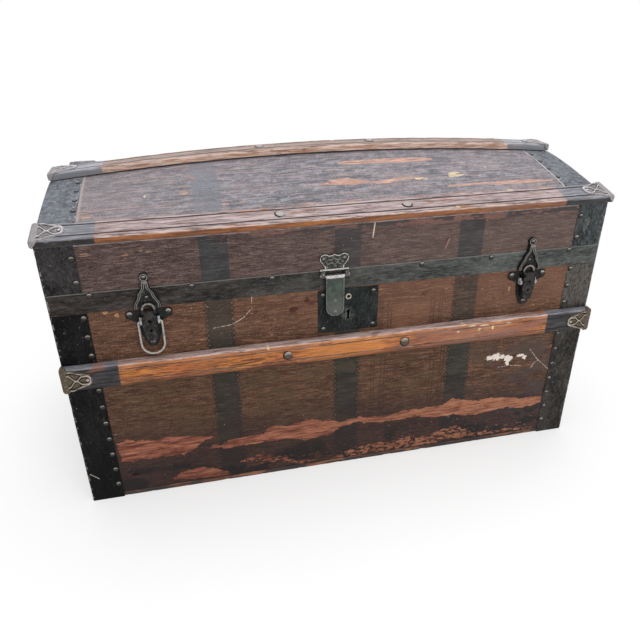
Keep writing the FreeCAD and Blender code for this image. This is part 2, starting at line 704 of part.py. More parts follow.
def stays():
    """Slotted arms that hold the lid open, their pivots on the lid and studs on the body."""
    hinge = Vector(0, SIDE + HINGE_OFFSET, PARTING_Z)
    angle = math.radians(STAY_ANGLE)
    rise = STAY_REACH * math.sin(angle)
    y = hinge.y - STAY_REACH * math.cos(angle)
    half, thickness = STAY_STRIP
    closed = 2 * STAY_REACH * math.sin(angle)
    opened = 2 * STAY_REACH * math.sin(angle + math.radians(STAY_OPEN) / 2)
    slot = STAY_PIN + 0.2
    round_end = slot - 0.01
    top = slot + 2 - closed
    low = -opened - slot - 2
    tail = -opened - 12

    arm = plate(mirrored([(half, tail, half - 0.1), (half, half, half - 0.1)]), thickness)
    arm = arm.cut(Part.makeCylinder(STAY_PIN + RUNNING_FIT, thickness))
    arm = arm.cut(plate(mirrored([(slot, low, round_end), (slot, top, round_end)]), thickness))
    arm = along_x(arm, STAY_X - thickness / 2, y, PARTING_Z + rise)
    keep("right_stay_arm", arm)
    keep("left_stay_arm", flip_x(arm))
    lid_pin = stay_pin(y, PARTING_Z + rise, STAY_PIN)
    keep("stay_lid_pins", lid_pin, flip_x(lid_pin))
    body_stud = stay_pin(y, PARTING_Z - rise, STAY_PIN - 0.1)
    keep("stay_body_studs", body_stud, flip_x(body_stud))


def stay_pin(y, z, radius):
    """A shouldered pin on the inside of an end board, with a head over the arm."""
    gap = STAY_STRIP[1] / 2 + PLAY
    shoulder = cylinder(5.5, Vector(END - BOARD, y, z), Vector(STAY_X + gap, y, z))
    shank = cylinder(radius, Vector(END - BOARD, y, z), Vector(STAY_X - gap - 1, y, z))
    head = cylinder(5.5, Vector(STAY_X - gap, y, z), Vector(STAY_X - gap - 1.6, y, z))
    return shoulder.fuse(shank).fuse(head).removeSplitter()


# ---------------------------------------------------------------- end handles


def handles():
    """Arched leather straps held in iron caps riveted to the end boards."""
    width, thickness = STRAP
    tail = HANDLE_SPAN + 12
    shoulder = HANDLE_SPAN - 46
    rise = HANDLE_RISE - thickness
    outer = [(tail, thickness), (HANDLE_SPAN - 6, thickness, 18), (shoulder, HANDLE_RISE, 40)]
    inner = [(-shoulder + 2, rise, 36), (-HANDLE_SPAN + 8, 0, 22), (-tail, 0)]
    far_outer = [(-x, *rest) for x, *rest in reversed(outer)]
    far_inner = [(-x, *rest) for x, *rest in inner]
    strap = plate(outer + far_outer + inner[::-1] + far_inner, width)
    strap.rotate(ORIGIN, X_AXIS, 90)
    strap.translate(Vector(0, width / 2, 0))
    length, height, deep = HANDLE_CAP
    half = height / 2
    cap = plate([(0, -half, 3), (length, -half, 9), (length, half, 9), (0, half, 3)], deep)
    room = width / 2 + 0.3
    cap = cap.cut(box((-1, tail - HANDLE_SPAN + 0.5), (-room, room), (-1, thickness + 0.3)))
    for side in ("left", "right"):
        keep(f"{side}_handle_strap", stand(side, strap, 0, HANDLE_Z))
        for turned, mouth in ((cap, HANDLE_SPAN), (cap.mirror(ORIGIN, X_AXIS), -HANDLE_SPAN)):
            keep("handle_caps", stand(side, turned, mouth, HANDLE_Z))
        for y in (HANDLE_SPAN + 24, -HANDLE_SPAN - 24):
            for z in (-11, 11):
                keep("handle_rivets", stand(side, rivet_head(*RIVET), y, HANDLE_Z + z, deep))


# ---------------------------------------------------------------- build and write

body_boards()
lid_boards()
dome_panels()
slats_and_clamps()
corner_bindings()
lid_band()
dome_bindings()
binding_rivets()
hinges()
lock()
hasp()
latch("left")
latch("right")
latch_loop()
stays()
handles()

os.makedirs("parts", exist_ok=True)
for name, solids in sorted(nodes.items()):
    shape = solids[0] if len(solids) == 1 else Part.makeCompound(solids)
    good = all(solid.isValid() and solid.Volume > 0 for solid in shape.Solids)
    shape.exportStep(f"parts/{name}.step")
    print(f"{name}: {len(shape.Solids)} solids, {shape.Volume / 1000:.2f} cm3, {'ok' if good else 'BAD'}")
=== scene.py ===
import math

import bmesh
import bpy
import numpy as np
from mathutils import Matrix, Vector, noise


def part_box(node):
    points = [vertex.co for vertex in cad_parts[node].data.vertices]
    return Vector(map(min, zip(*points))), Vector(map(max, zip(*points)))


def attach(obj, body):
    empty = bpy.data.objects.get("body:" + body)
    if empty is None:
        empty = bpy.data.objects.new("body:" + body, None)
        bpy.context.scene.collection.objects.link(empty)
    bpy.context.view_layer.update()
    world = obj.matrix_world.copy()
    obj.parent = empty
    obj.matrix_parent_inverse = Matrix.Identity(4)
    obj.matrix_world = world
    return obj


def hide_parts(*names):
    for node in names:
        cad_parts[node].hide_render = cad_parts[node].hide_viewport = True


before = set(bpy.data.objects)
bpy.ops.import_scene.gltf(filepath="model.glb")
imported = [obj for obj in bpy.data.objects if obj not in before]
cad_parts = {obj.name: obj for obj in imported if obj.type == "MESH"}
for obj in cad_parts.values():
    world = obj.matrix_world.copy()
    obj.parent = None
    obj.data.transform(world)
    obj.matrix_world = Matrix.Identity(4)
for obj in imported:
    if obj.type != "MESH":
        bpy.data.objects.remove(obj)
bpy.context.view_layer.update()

# Dome top trunk. Meshes and materials are written in millimetres: X along the length,
# Y from front (-) to back (+), Z up from the floor, as in the frame.

# ---------------------------------------------------------------- wall boards
# Pine boards nailed at the corners, covered outside with a printed, varnished paper that
# imitates woven bands. It is soiled low down and torn off in long strips along the front.

MM = 0.001
WELD_GAP = 0.005  # CAD corners closer than this are one corner


class Shade:
    """An output socket of a material's nodes. A sum written with it adds Math nodes."""

    def __init__(self, tree, socket=None):
        self.tree = tree
        self.socket = socket

    def node(self, kind, settings=None, inputs=None, output=0):
        """Any other node: its settings come first, then the values or links of its sockets."""
        made = self.tree.nodes.new("ShaderNode" + kind)
        for name, value in (settings or {}).items():
            if name == "stops":
                set_stops(made.color_ramp, value)
            else:
                setattr(made, name, value)
        for key, value in (inputs or {}).items():
            if isinstance(value, Shade):
                self.tree.links.new(value.socket, made.inputs[key])
            else:
                made.inputs[key].default_value = value
        return Shade(self.tree, made.outputs[output] if made.outputs else None)

    def maths(self, operation, *values):
        """A Math node over some values."""
        return self.node("Math", {"operation": operation}, dict(enumerate(values)))

    def __add__(self, other):
        return self.maths("ADD", self, other)

    def __sub__(self, other):
        return self.maths("SUBTRACT", self, other)

    def __rsub__(self, other):
        return self.maths("SUBTRACT", other, self)

    def __mul__(self, other):
        return self.maths("MULTIPLY", self, other)

    def __truediv__(self, other):
        return self.maths("DIVIDE", self, other)

    def __mod__(self, other):
        return self.maths("FLOORED_MODULO", self, other)

    def __pow__(self, other):
        return self.maths("POWER", self, other)

    def __neg__(self):
        return self.maths("MULTIPLY", self, -1)

    def __abs__(self):
        return self.maths("ABSOLUTE", self)

    __radd__ = __add__
    __rmul__ = __mul__


def set_stops(ramp, stops):
    """Give a colour ramp its stops, each a place from 0 to 1 and a colour."""
    ramp.elements.remove(ramp.elements[1])
    ramp.elements[0].position, ramp.elements[0].color = stops[0]
    for position, colour in stops[1:]:
        ramp.elements.new(position).color = colour


def tint(code):
    """A hex colour as the linear values that nodes take."""
    shares = [int(code[i:i + 2], 16) / 255 for i in (1, 3, 5)]
    return tuple(c / 12.92 if c <= 0.04045 else ((c + 0.055) / 1.055) ** 2.4 for c in shares) + (1.0,)


def mix(share, low, high):
    """From one colour to another as share goes from 0 to 1. A colour may be a hex code."""
    # The node's sockets for colours are 6 and 7, and its output for a colour is 2.
    low, high = (tint(value) if isinstance(value, str) else value for value in (low, high))
    host = next(value for value in (share, low, high) if isinstance(value, Shade))
    return host.node("Mix", {"data_type": "RGBA"}, {0: share, 6: low, 7: high}, 2)


def coats(colour, layers):
    """A colour with layers over it, each given as where it shows and its own colour."""
    for share, shade in layers:
        colour = mix(share, colour, shade)
    return colour


def step(value, low, high):
    """0 before low and 1 after high, eased; falls instead where high is the smaller."""
    return value.node("MapRange", {"interpolation_type": "SMOOTHSTEP"}, {0: value, 1: low, 2: high})


def near(value, centre, half, soft=0.4):
    """1 within half of centre, 0 further off."""
    return step(abs(value - centre), half + soft, half - soft)


def either(first, *others):
    """The larger of several masks."""
    for other in others:
        first = first.maths("MAXIMUM", first, other)
    return first


EVEN = (1, 1, 1)  # no grain


def speckle(place, size, stretch, detail, rough=0.55, twist=0.0):
    """Cloudy noise from 0 to 1 with features of a given size, longer along a stretched axis."""
    scale = [1 / (size * s) for s in stretch]
    spread = place.node("VectorMath", {"operation": "MULTIPLY"}, {0: place, 1: scale})
    values = {"Vector": spread, "Scale": 1.0, "Detail": detail, "Roughness": rough, "Distortion": twist}
    return place.node("TexNoise", {}, values)


def apart(across, up):
    """How far off a point is that lies so far across and so far up."""
    return (across * across + up * up) ** 0.5


def flecks(place, size, stretch, amount, soft=0.02, detail=2.0):
    """A mask of scattered flecks. The amount, from 0 to 1, sets how much they cover."""
    edge = 0.78 - 0.45 * amount
    return step(speckle(place, size, stretch, detail), edge - soft, edge + soft)


def outlined(value, points):
    """The height of a drawn line at value, from (place, height) points in millimetres."""
    first, last = points[0][0], points[-1][0]
    low = min(height for _, height in points)
    rise = max(height for _, height in points) - low + 0.01
    stops = [((at - first) / (last - first), ((height - low) / rise,) * 3 + (1.0,)) for at, height in points]
    share = value.node("MapRange", {}, {0: value, 1: first, 2: last})
    return share.node("ValToRGB", {"stops": stops}, {0: share}) * rise + low


def ragged(across, up, upper, lower, jag, soft):
    """A torn patch between an upper and a lower drawn line."""
    first, last = upper[0][0], upper[-1][0]
    inside = step(across + jag * 2, first - 1, first + 1) * step(across + jag * 2, last + 1, last - 1)
    below = step(outlined(across, upper) - up + jag, -soft, soft)
    above = step(up - outlined(across, lower) + jag, -soft, soft)
    return inside * below * above


def start(name):
    """A new material, and where its surface lies in millimetres."""
    material = bpy.data.materials.new(name)
    material.use_nodes = True
    material.node_tree.nodes.clear()
    place = Shade(material.node_tree).node("TexCoord", output="Object")
    return material, place.node("VectorMath", {"operation": "SCALE"}, {0: place, "Scale": 1 / MM})


def axes(place):
    """The x, y and z of a place."""
    return [place.node("SeparateXYZ", {}, {0: place}, axis) for axis in "XYZ"]


def facing_up(place):
    """1 where a surface faces the sky, -1 where it faces the ground."""
    return axes(place.node("TexCoord", output="Normal"))[2]


def relief_of(place):
    """How far a piece's relief stands out, in millimetres, as its mesh keeps it."""
    return place.node("Attribute", {"attribute_name": "relief"}, output="Fac")


def loose(grain):
    """A shorter grain, for clouds and patches."""
    return tuple((g + 2) / 3 for g in grain)


def finish(material, colour, rough, bump, depth, metal=0.0, shine=0.5):
    """Close a material. A bump of 1 stands depth millimetres high."""
    paint = Shade(material.node_tree)
    normal = paint.node("Bump", {}, {"Strength": 1.0, "Distance": depth * MM, "Height": bump})
    values = {"Base Color": colour, "Roughness": rough, "Metallic": metal, "Specular IOR Level": shine}
    shader = paint.node("BsdfPrincipled", {}, {**values, "Normal": normal})
    paint.node("OutputMaterial", {}, {"Surface": shader})
    return material


def dress(material, *nodes, bevel=0.0, worn=None):
    """Give CAD nodes a material, rounded edges, and on those a second material for worn edges and painted
    highlights.
    """
    for node in nodes:
        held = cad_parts[node]
        held.data.materials.clear()
        held.data.materials.append(material)
        if bevel:
            held.modifiers.new("joined", "WELD").merge_threshold = WELD_GAP * MM
            edge = held.modifiers.new("rounded", "BEVEL")
            edge.width = bevel * MM
            edge.segments = 2
            edge.limit_method = "ANGLE"
            edge.angle_limit = math.radians(35)
        if worn:
            held.data.materials.append(worn)
            edge.material = 1


def span(node):
    """The lowest and highest corner of a CAD node, in millimetres."""
    low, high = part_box(node)
    return low / MM, high / MM


def middle_of(node):
    """The middle of a CAD node along the length, in millimetres."""
    return sum(corner.x for corner in span(node)) / 2


WALL_LOW, WALL_HIGH = span("body_front_board")
END, SIDE = WALL_HIGH.x, -WALL_LOW.y
KEYHOLE = (4, 300)
SLAT_TOP = 262  # just under the body slat's upper edge
BANDS = (-196.0, 2.5, 201.5)  # middles of the printed bands
BAND_HALF = 20.5
DOT_PITCH = 8.6


def printed_paper(place, across, up, grain, papers, bands, band_share=1.0, ringed=True):
    """The covering's colour and relief: wrinkled paper, and dark bands edged with rings."""
    cloud = step(speckle(place, 24, loose(grain), 5, 0.62), 0.37, 0.63)
    wrinkle = speckle(place, 2.3, tuple(g * 0.8 for g in grain), 4, 0.75, 0.4)
    weave = speckle(place, 2.0, (1.2, 1.2, 1), 3, 0.8)
    patch = speckle(place, 9, loose(grain), 5, 0.7)
    wander = speckle(place, 9, EVEN, 2) * 2.4 - 1.2
    band = either(*(near(across + wander * 0.4, middle, BAND_HALF, 0.9) for middle in BANDS))
    band_colour = coats(mix(cloud, bands[0], bands[1]), [
        (step(wrinkle, 0.53, 0.66) * 0.6, bands[2]),
        (step(wrinkle, 0.48, 0.40) * 0.5, bands[0]),
    ])
    worn_through = flecks(place, 8, grain, 0.24)
    colour = coats(mix(cloud, papers[0], papers[1]), [
        (step(patch, 0.48, 0.38) * 0.35, papers[3]),
        (step(wrinkle, 0.48, 0.41) * 0.75, papers[3]),
        (step(wrinkle, 0.53, 0.60) * 0.7, papers[2]),
        (step(weave, 0.47, 0.37) * 0.7, papers[3]),
        (step(weave, 0.54, 0.64) * 0.6, papers[2]),
        (band * (1 - worn_through * 0.6) * band_share, band_colour),
    ])
    if ringed:
        down = up % DOT_PITCH - DOT_PITCH / 2
        dots, rings = [], []
        for middle in BANDS:
            off = apart(abs(across - middle) - (BAND_HALF - 1.2), down)
            dots.append(step(off, 2.3, 1.3))
            rings.append(near(off, 3.0, 0.8))
        kept = step(speckle(place, 22, EVEN, 4), 0.40, 0.56)
        colour = coats(colour, [
            (either(*rings) * kept * 0.85, "#1f1e1c"),
            (either(*dots) * kept * step(weave, 0.40, 0.52) * 0.45, "#7c6550"),
        ])
    relief = wrinkle * 0.9 + weave * 0.35 + band * 0.1
    return colour, relief, wrinkle


def nested(across, up, middle, half, centre, tall):
    """Fine nested outlines printed on the plain panels between the bands."""
    ring = abs(across - middle) / half
    ring = ring.maths("MAXIMUM", ring, abs(up - centre) / tall)
    return either(*(near(ring, share, 0.02, 0.015) for share in (0.62, 0.72, 0.90, 0.98)))


def aged_pine(place, grain):
    """Bare pine, brown with age: the inside faces and cut edges of the boards."""
    cloud = speckle(place, 40, grain, 4)
    figure = speckle(place, 6, tuple(g * 2 for g in grain), 4, 0.6, 0.8)
    colour = coats(mix(step(cloud, 0.35, 0.65), "#8a6a4a", "#a5835c"), [
        (step(figure, 0.5, 0.64) * 0.7, "#6e5036"),
        (flecks(place, 16, EVEN, 0.25, 0.06) * 0.5, "#4a382b"),
    ])
    return colour, figure


TEARS = [
    (
        [(-378, 112), (-360, 115), (-320, 106), (-290, 110), (-259, 104), (-225, 98)],
        [(-378, 72), (-340, 70), (-309, 71), (-278, 68), (-262, 75), (-245, 88), (-225, 95)],
    ),
    (
        [
            (-231, 80), (-215, 78), (-200, 85), (-182, 86), (-141, 89), (-129, 103), (-101, 98), (-64, 105),
            (-24, 97), (-5, 90), (30, 94), (76, 88), (112, 94), (183, 95), (199, 106), (250, 92), (277, 96),
            (344, 84), (381, 82),
        ],
        [
            (-231, 74), (-200, 68), (-183, 70), (-131, 69), (-110, 72), (-68, 61), (-26, 67), (-2, 80),
            (21, 84), (64, 76), (110, 77), (141, 77), (172, 68), (203, 70), (235, 62), (310, 67), (343, 62),
            (381, 68),
        ],
    ),
    ([(-298, 22), (-283, 33), (-250, 37), (-227, 30), (-204, 16)], [(-298, 18), (-269, 13), (-204, 8)]),
    (
        [(-190, 36), (-173, 40), (-148, 47), (-120, 36), (-99, 25), (-78, 18), (-50, 14)],
        [(-190, 33), (-163, 32), (-120, 22), (-78, 10), (-50, 8)],
    ),
    (
        [
            (-24, 14), (5, 21), (35, 30), (62, 33), (76, 28), (112, 36), (158, 26), (171, 36), (212, 45),
            (236, 28), (251, 21), (302, 17), (377, 16),
        ],
        [(-24, 8), (158, 9), (212, 14), (251, 12), (377, 11)],
    ),
]
CHIPS = [
    (263, 182, 7, 5), (275, 182, 9, 7), (287, 181, 6, 4), (298, 176, 8, 7), (298, 167, 4, 5),
    (322, 179, 7, 3), (330, 174, 4, 4),
]
SCRATCHES = [
    ((338, 190), (356, 167), (384, 140)),
    ((-207, 300), (-178, 303), (-160, 313), (-147, 327)),
    ((-147, 336), (-146, 346)),
    ((359, 164), (350, 158), (347, 149)),
    ((282, 160), (300, 161), (326, 157)),
]


def scratch(across, up, points, half, jag):
    """A thin line drawn through a few points."""
    legs = []
    for (ax, az), (bx, bz) in zip(points, points[1:]):
        run, rise = bx - ax, bz - az
        length = math.hypot(run, rise)
        along = ((across - ax) * run + (up - az) * rise) / length
        off = abs((across - ax) * (rise / length) - (up - az) * (run / length) + jag)
        legs.append(step(off, half + 0.3, half - 0.3) * near(along, length / 2, length / 2 + half, 0.3))
    return either(*legs)


def blots(across, up, spots, jag):
    """Uneven spots, each given as its middle and its two half sizes."""
    return either(*(
        step(((across - a) / wide) ** 2 + ((up - b) / tall) ** 2 + jag, 1.1, 0.8)
        for a, b, wide, tall in spots
    ))


def bare_strip(place, grain):
    """The reddish under-paper and pine that show where the covering is torn off."""
    figure = speckle(place, 2.6, tuple(g * 1.6 for g in grain), 4, 0.7, 0.5)
    cloud = step(speckle(place, 20, loose(grain), 4), 0.36, 0.62)
    colour = coats(mix(cloud, "#6b3f33", "#8a5543"), [
        (step(figure, 0.50, 0.41) * 0.8, "#4c2b24"),
        (step(figure, 0.54, 0.64) * 0.7, "#ad745d"),
    ])
    return colour, figure


def body_front():
    """The front board: printed paper, long torn strips, white chips and scratches."""
    material, place = start("front covering")
    x, y, z = axes(place)
    grain = (9, 1, 1)
    shades = ("#4a3226", "#5e4332", "#86634c", "#2a1812")
    bands = ("#262421", "#37332e", "#585249")
    colour, relief, wrinkle = printed_paper(place, x, z, grain, shades, bands)
    panel = near(x, 110, 34, 6) * near(z, 283, 26, 6)
    printed = either(nested(x, z, 110, 54, 283, 42), nested(x, z, 110, 66, 150, 90) * 0.6)
    # right: painted light, the board painted paler to the right and darker to the left, as if lit from the
    # right
    right = step(x, -300, 320)
    upper = step(z, SLAT_TOP, 300)
    lower = step(z, SLAT_TOP, 240)
    stain = speckle(place, 26, (2, 1, 1), 4)
    last_band = near(x, BANDS[2], BAND_HALF, 1) * upper
    soil = step(z + stain * 70, 205, 100)
    damp = step(x, 170, 330) * step(z, 225, 195) * step(stain, 0.44, 0.56)
    mould = step(stain, 0.50, 0.60) * step(z, 76, 46)
    grimy = flecks(place, 8, (1.6, 1, 1), 0.36, 0.03, 4) * step(z, 190, 60)
    bruised = flecks(place, 14, (1.6, 1, 1), 0.28, 0.05, 4) * upper
    coarse = (speckle(place, 9, (1.8, 1, 1), 4, 0.7) - 0.5) * 16
    strip, figure = bare_strip(place, grain)
    torn = either(*(ragged(x, z, *lines, coarse, 0.4) for lines in TEARS[:2]))
    torn = torn * (1 - flecks(place, 5, (1.6, 1, 1), 0.13, 0.02, 4))
    low = either(*(ragged(x, z, *lines, coarse * 1.4, 0.4) for lines in TEARS[2:]))
    low = low * (1 - flecks(place, 5, (1.8, 1, 1), 0.56, 0.02, 5) * step(x, -230, -160))
    shreds = flecks(place, 6, (1.8, 1, 1), 0.38, 0.015, 4) * near(z, 25, 14, 10) * step(x, -250, -150)
    torn = either(torn, low * 0.95, shreds * 0.85)
    torn = either(torn, blots(x, z, [(-361, 41, 11, 4)], coarse * 0.12) * 0.6)
    rim = step(abs(torn - 0.5), 0.5, 0.2)
    pitted = 1 - step(figure, 0.50, 0.42) * 0.7
    ruffle = (speckle(place, 4, EVEN, 4, 0.7) - 0.5) * 5
    pale = blots(x, z, CHIPS, ruffle)
    lines = [scratch(x, z, points, 0.45, ruffle * 0.25) for points in SCRATCHES]
    pale = either(pale, either(*lines) * step(speckle(place, 3, EVEN, 2), 0.40, 0.50) * 0.75)
    pale = either(pale, flecks(place, 2.6, (1.3, 1, 1), 0.07, 0.01) * 0.8)
    pale_low = flecks(place, 4, (2, 1, 1), 0.24, 0.012, 3) * step(x, -60, 120) * near(z, 40, 32, 14)
    tan = flecks(place, 5, (2.5, 1, 1), 0.17, 0.012, 3) * step(z, SLAT_TOP, 270)
    tan = either(tan, blots(x, z, [(-358, 344, 4, 3), (-342, 338, 4, 3), (280, 313, 2, 5)], ruffle))
    inside = step(y, -SIDE + 1, -SIDE + 2)
    pine, _ = aged_pine(place, grain)
    colour = coats(colour, [
        (panel * 0.35, "#7a5540"),
        (printed * step(wrinkle, 0.40, 0.52) * 0.7, "#2b1b15"),
        # painted light: paler above the slat, more so to the right, and darker on the left below it
        (upper * (0.10 + right * 0.30), "#7d5a49"),
        ((1 - right) * lower * 0.25, "#33261c"),
        (step(stain, 0.5, 0.6) * lower * 0.35, "#4f4230"),
        (last_band * step(wrinkle, 0.60, 0.44) * 0.75, "#2c2d29"),
        (soil * 0.72, "#2a1f21"),
        (damp * 0.45, "#3f383c"),
        (mould * 0.7, "#151718"),
        (grimy * 0.55, "#281d1e"),
        (bruised * 0.6, "#3a231c"),
        # the torn strips are painted paler to the right, painted light
        (torn, mix(right * pitted * 0.5, strip, "#b07b5e")),
        (rim * 0.6, "#241a19"),
        (blots(x, z, [(-358, 42, 7, 3)], coarse * 0.1), "#120e0e"),
        (near(z, 9.6, 0.9) * 0.85, "#120f0f"),
        (pale, "#d6cbc2"),
        (pale_low * 0.55, "#b9998a"),
        (blots(x, z, [(-84, 317, 7, 5), (-62, 331, 4, 5)], ruffle) * 0.7, "#38140f"),
        (tan * 0.7, "#a8825f"),
        (inside, pine),
        # painted shade: the keyhole's slot through the board is painted black as the dark inside of the lock
        (near(x, KEYHOLE[0], 4) * near(z, KEYHOLE[1] - 1, 10), "#080706"),
    ])
    relief = relief + figure * torn * 0.5 - torn * 0.6 + rim * 0.3
    rough = 0.55 + torn * 0.2 + wrinkle * 0.12
    return finish(material, colour, rough, relief, 0.5, shine=0.16)


def body_plain(name, along_x):
    """The same covering on the back or an end, whole but soiled and scuffed low down."""
    material, place = start(name)
    x, y, z = axes(place)
    across = x if along_x else y
    grain = (9, 1, 1) if along_x else (1, 9, 1)
    shades = ("#44322a", "#563f34", "#705444", "#2a1c18")
    bands = ("#2a2826", "#38342f", "#504a43")
    colour, relief, wrinkle = printed_paper(place, across, z, grain, shades, bands)
    stain = speckle(place, 30, loose(grain), 4)
    strip, figure = bare_strip(place, grain)
    torn_grain = tuple((g + 1) / 2 for g in grain)
    torn = flecks(place, 15, torn_grain, 0.34, 0.012, 4) * step(z, 150, 40)
    torn = either(torn, flecks(place, 8, torn_grain, 0.18, 0.012, 3))
    reach = abs(y) if along_x else abs(x)
    limit = SIDE if along_x else END
    inside = step(reach, limit - 1, limit - 2)
    pine, _ = aged_pine(place, grain)
    colour = coats(colour, [
        (step(z + stain * 70, 128, 70) * 0.7, "#2a1f21"),
        (torn, strip),
        (flecks(place, 3, EVEN, 0.06, 0.01), "#c3b6ac"),
        (inside, pine),
    ])
    relief = relief + figure * torn * 0.4 - torn * 0.5
    return finish(material, colour, 0.55 + torn * 0.2 + wrinkle * 0.1, relief, 0.5, shine=0.2)


dress(body_front(), "body_front_board")
dress(body_plain("back covering", True), "body_back_board", "lid_back_board")
ENDS = [f"{body}_{side}_end_board" for body in ("body", "lid") for side in ("left", "right")]
dress(body_plain("end covering", False), *ENDS)

RUB_MARKS = [(-372, 434, 8, 2.5), (-318, 429, 5, 3), (-296, 434, 3, 3), (-285, 430, 4, 2)]


def lid_front():
    """The lid's front board, greyer than the body's, its paper frayed under the slat."""
    material, place = start("lid front covering")
    x, y, z = axes(place)
    grain = (9, 1, 1)
    shades = ("#463734", "#5a4844", "#7a6660", "#291e1c")
    bands = ("#25282a", "#363a3b", "#565a5d")
    colour, relief, wrinkle = printed_paper(
        place, x, z, grain, shades, bands, band_share=0.9, ringed=False
    )
    right = step(x, -380, 380)
    plain = 1 - near(x, BANDS[2], BAND_HALF, 1) * 0.5
    coarse = (speckle(place, 8, (3, 1, 1), 4, 0.7) - 0.5) * 16
    frayed = step(z + coarse + step(x, 60, 140) * 3, 440, 442) * step(x, -250, -90)
    strip, figure = bare_strip(place, grain)
    bluish = flecks(place, 10, (3, 1, 1), 0.62, 0.03, 4)
    rubs = either(
        flecks(place, 6, (3, 1, 1), 0.16, 0.02, 4),
        blots(x, z, RUB_MARKS, coarse * 0.25),
    )
    ruffle = (speckle(place, 4, EVEN, 4, 0.7) - 0.5) * 3
    lines = scratch(x, z, ((44, 453), (43, 440), (41, 424)), 0.8, ruffle * 0.3)
    lines = lines * step(speckle(place, 3, EVEN, 2), 0.36, 0.46)
    pale = either(lines, flecks(place, 2.6, (1.3, 1, 1), 0.045, 0.01) * 0.8)
    inside = step(y, -SIDE + 1, -SIDE + 2)
    pine, _ = aged_pine(place, grain)
    colour = coats(colour, [
        # painted light: the lid's front is painted paler to the right
        (right * plain * 0.35, "#6a5a54"),
        (flecks(place, 18, (1.6, 1, 1), 0.26, 0.06, 4) * 0.5, "#3b201b"),
        (frayed * 0.75, mix(bluish, mix(0.6, strip, "#7d655f"), "#413e41")),
        (rubs * step(wrinkle, 0.44, 0.56) * 0.6, "#a9836b"),
        (pale, "#d8c4ac"),
        (scratch(x, z, ((160, 396), (165, 410)), 1.4, ruffle * 0.4) * 0.6, "#9c6f6b"),
        # painted shadow: a dark line along the top of the board, under the lid slat's nose
        (step(z, 449.5, 451.5) * 0.7, "#1d1718"),
        (inside, pine),
    ])
    relief = relief + frayed * figure * 0.5 - frayed * 0.4
    rough = 0.55 + frayed * 0.2 + wrinkle * 0.1
    return finish(material, colour, rough, relief, 0.5, shine=0.16)


dress(lid_front(), "lid_front_board")

# ---------------------------------------------------------------- dome panels
# Two thin boards steamed over the dome and nailed down under the ridge slat. Their paper has
# faded to grey and lilac in the light, and long scrapes along the grain show the pine.

SCRAPES = [
    (
        [(24, -60), (40, -56), (80, -55), (134, -54), (171, -54), (191, -57)],
        [(24, -64), (48, -68), (90, -67), (129, -68), (166, -67), (191, -64)],
    ),
    (
        [(0, -111), (18, -106), (29, -108), (46, -112), (66, -120), (91, -119), (114, -113), (156, -116)],
        [(0, -123), (32, -126), (53, -124), (88, -128), (114, -121), (156, -118)],
    ),
    (
        [(188, -144), (222, -142), (262, -141), (309, -140), (340, -140), (373, -144)],
        [(188, -146), (235, -146), (279, -149), (326, -149), (373, -147)],
    ),
]
PALE_SPOTS = [
    (214, -113, 13, 7), (205, -116, 7, 4), (146, -119, 6, 5), (156, -121, 5, 4), (-287, -113, 2, 3),
    (275, -93, 4, 2), (206, -168, 8, 2), (226, -175, 7, 3), (286, -167, 6, 2),
]
PINK_SPOTS = [
    (-229, -113, 8, 5), (-215, -75, 5, 7), (-170, -150, 6, 4), (-144, -147, 5, 3), (-52, -164, 14, 3),
    (-7, -119, 8, 4), (-372, -152, 12, 8),
]


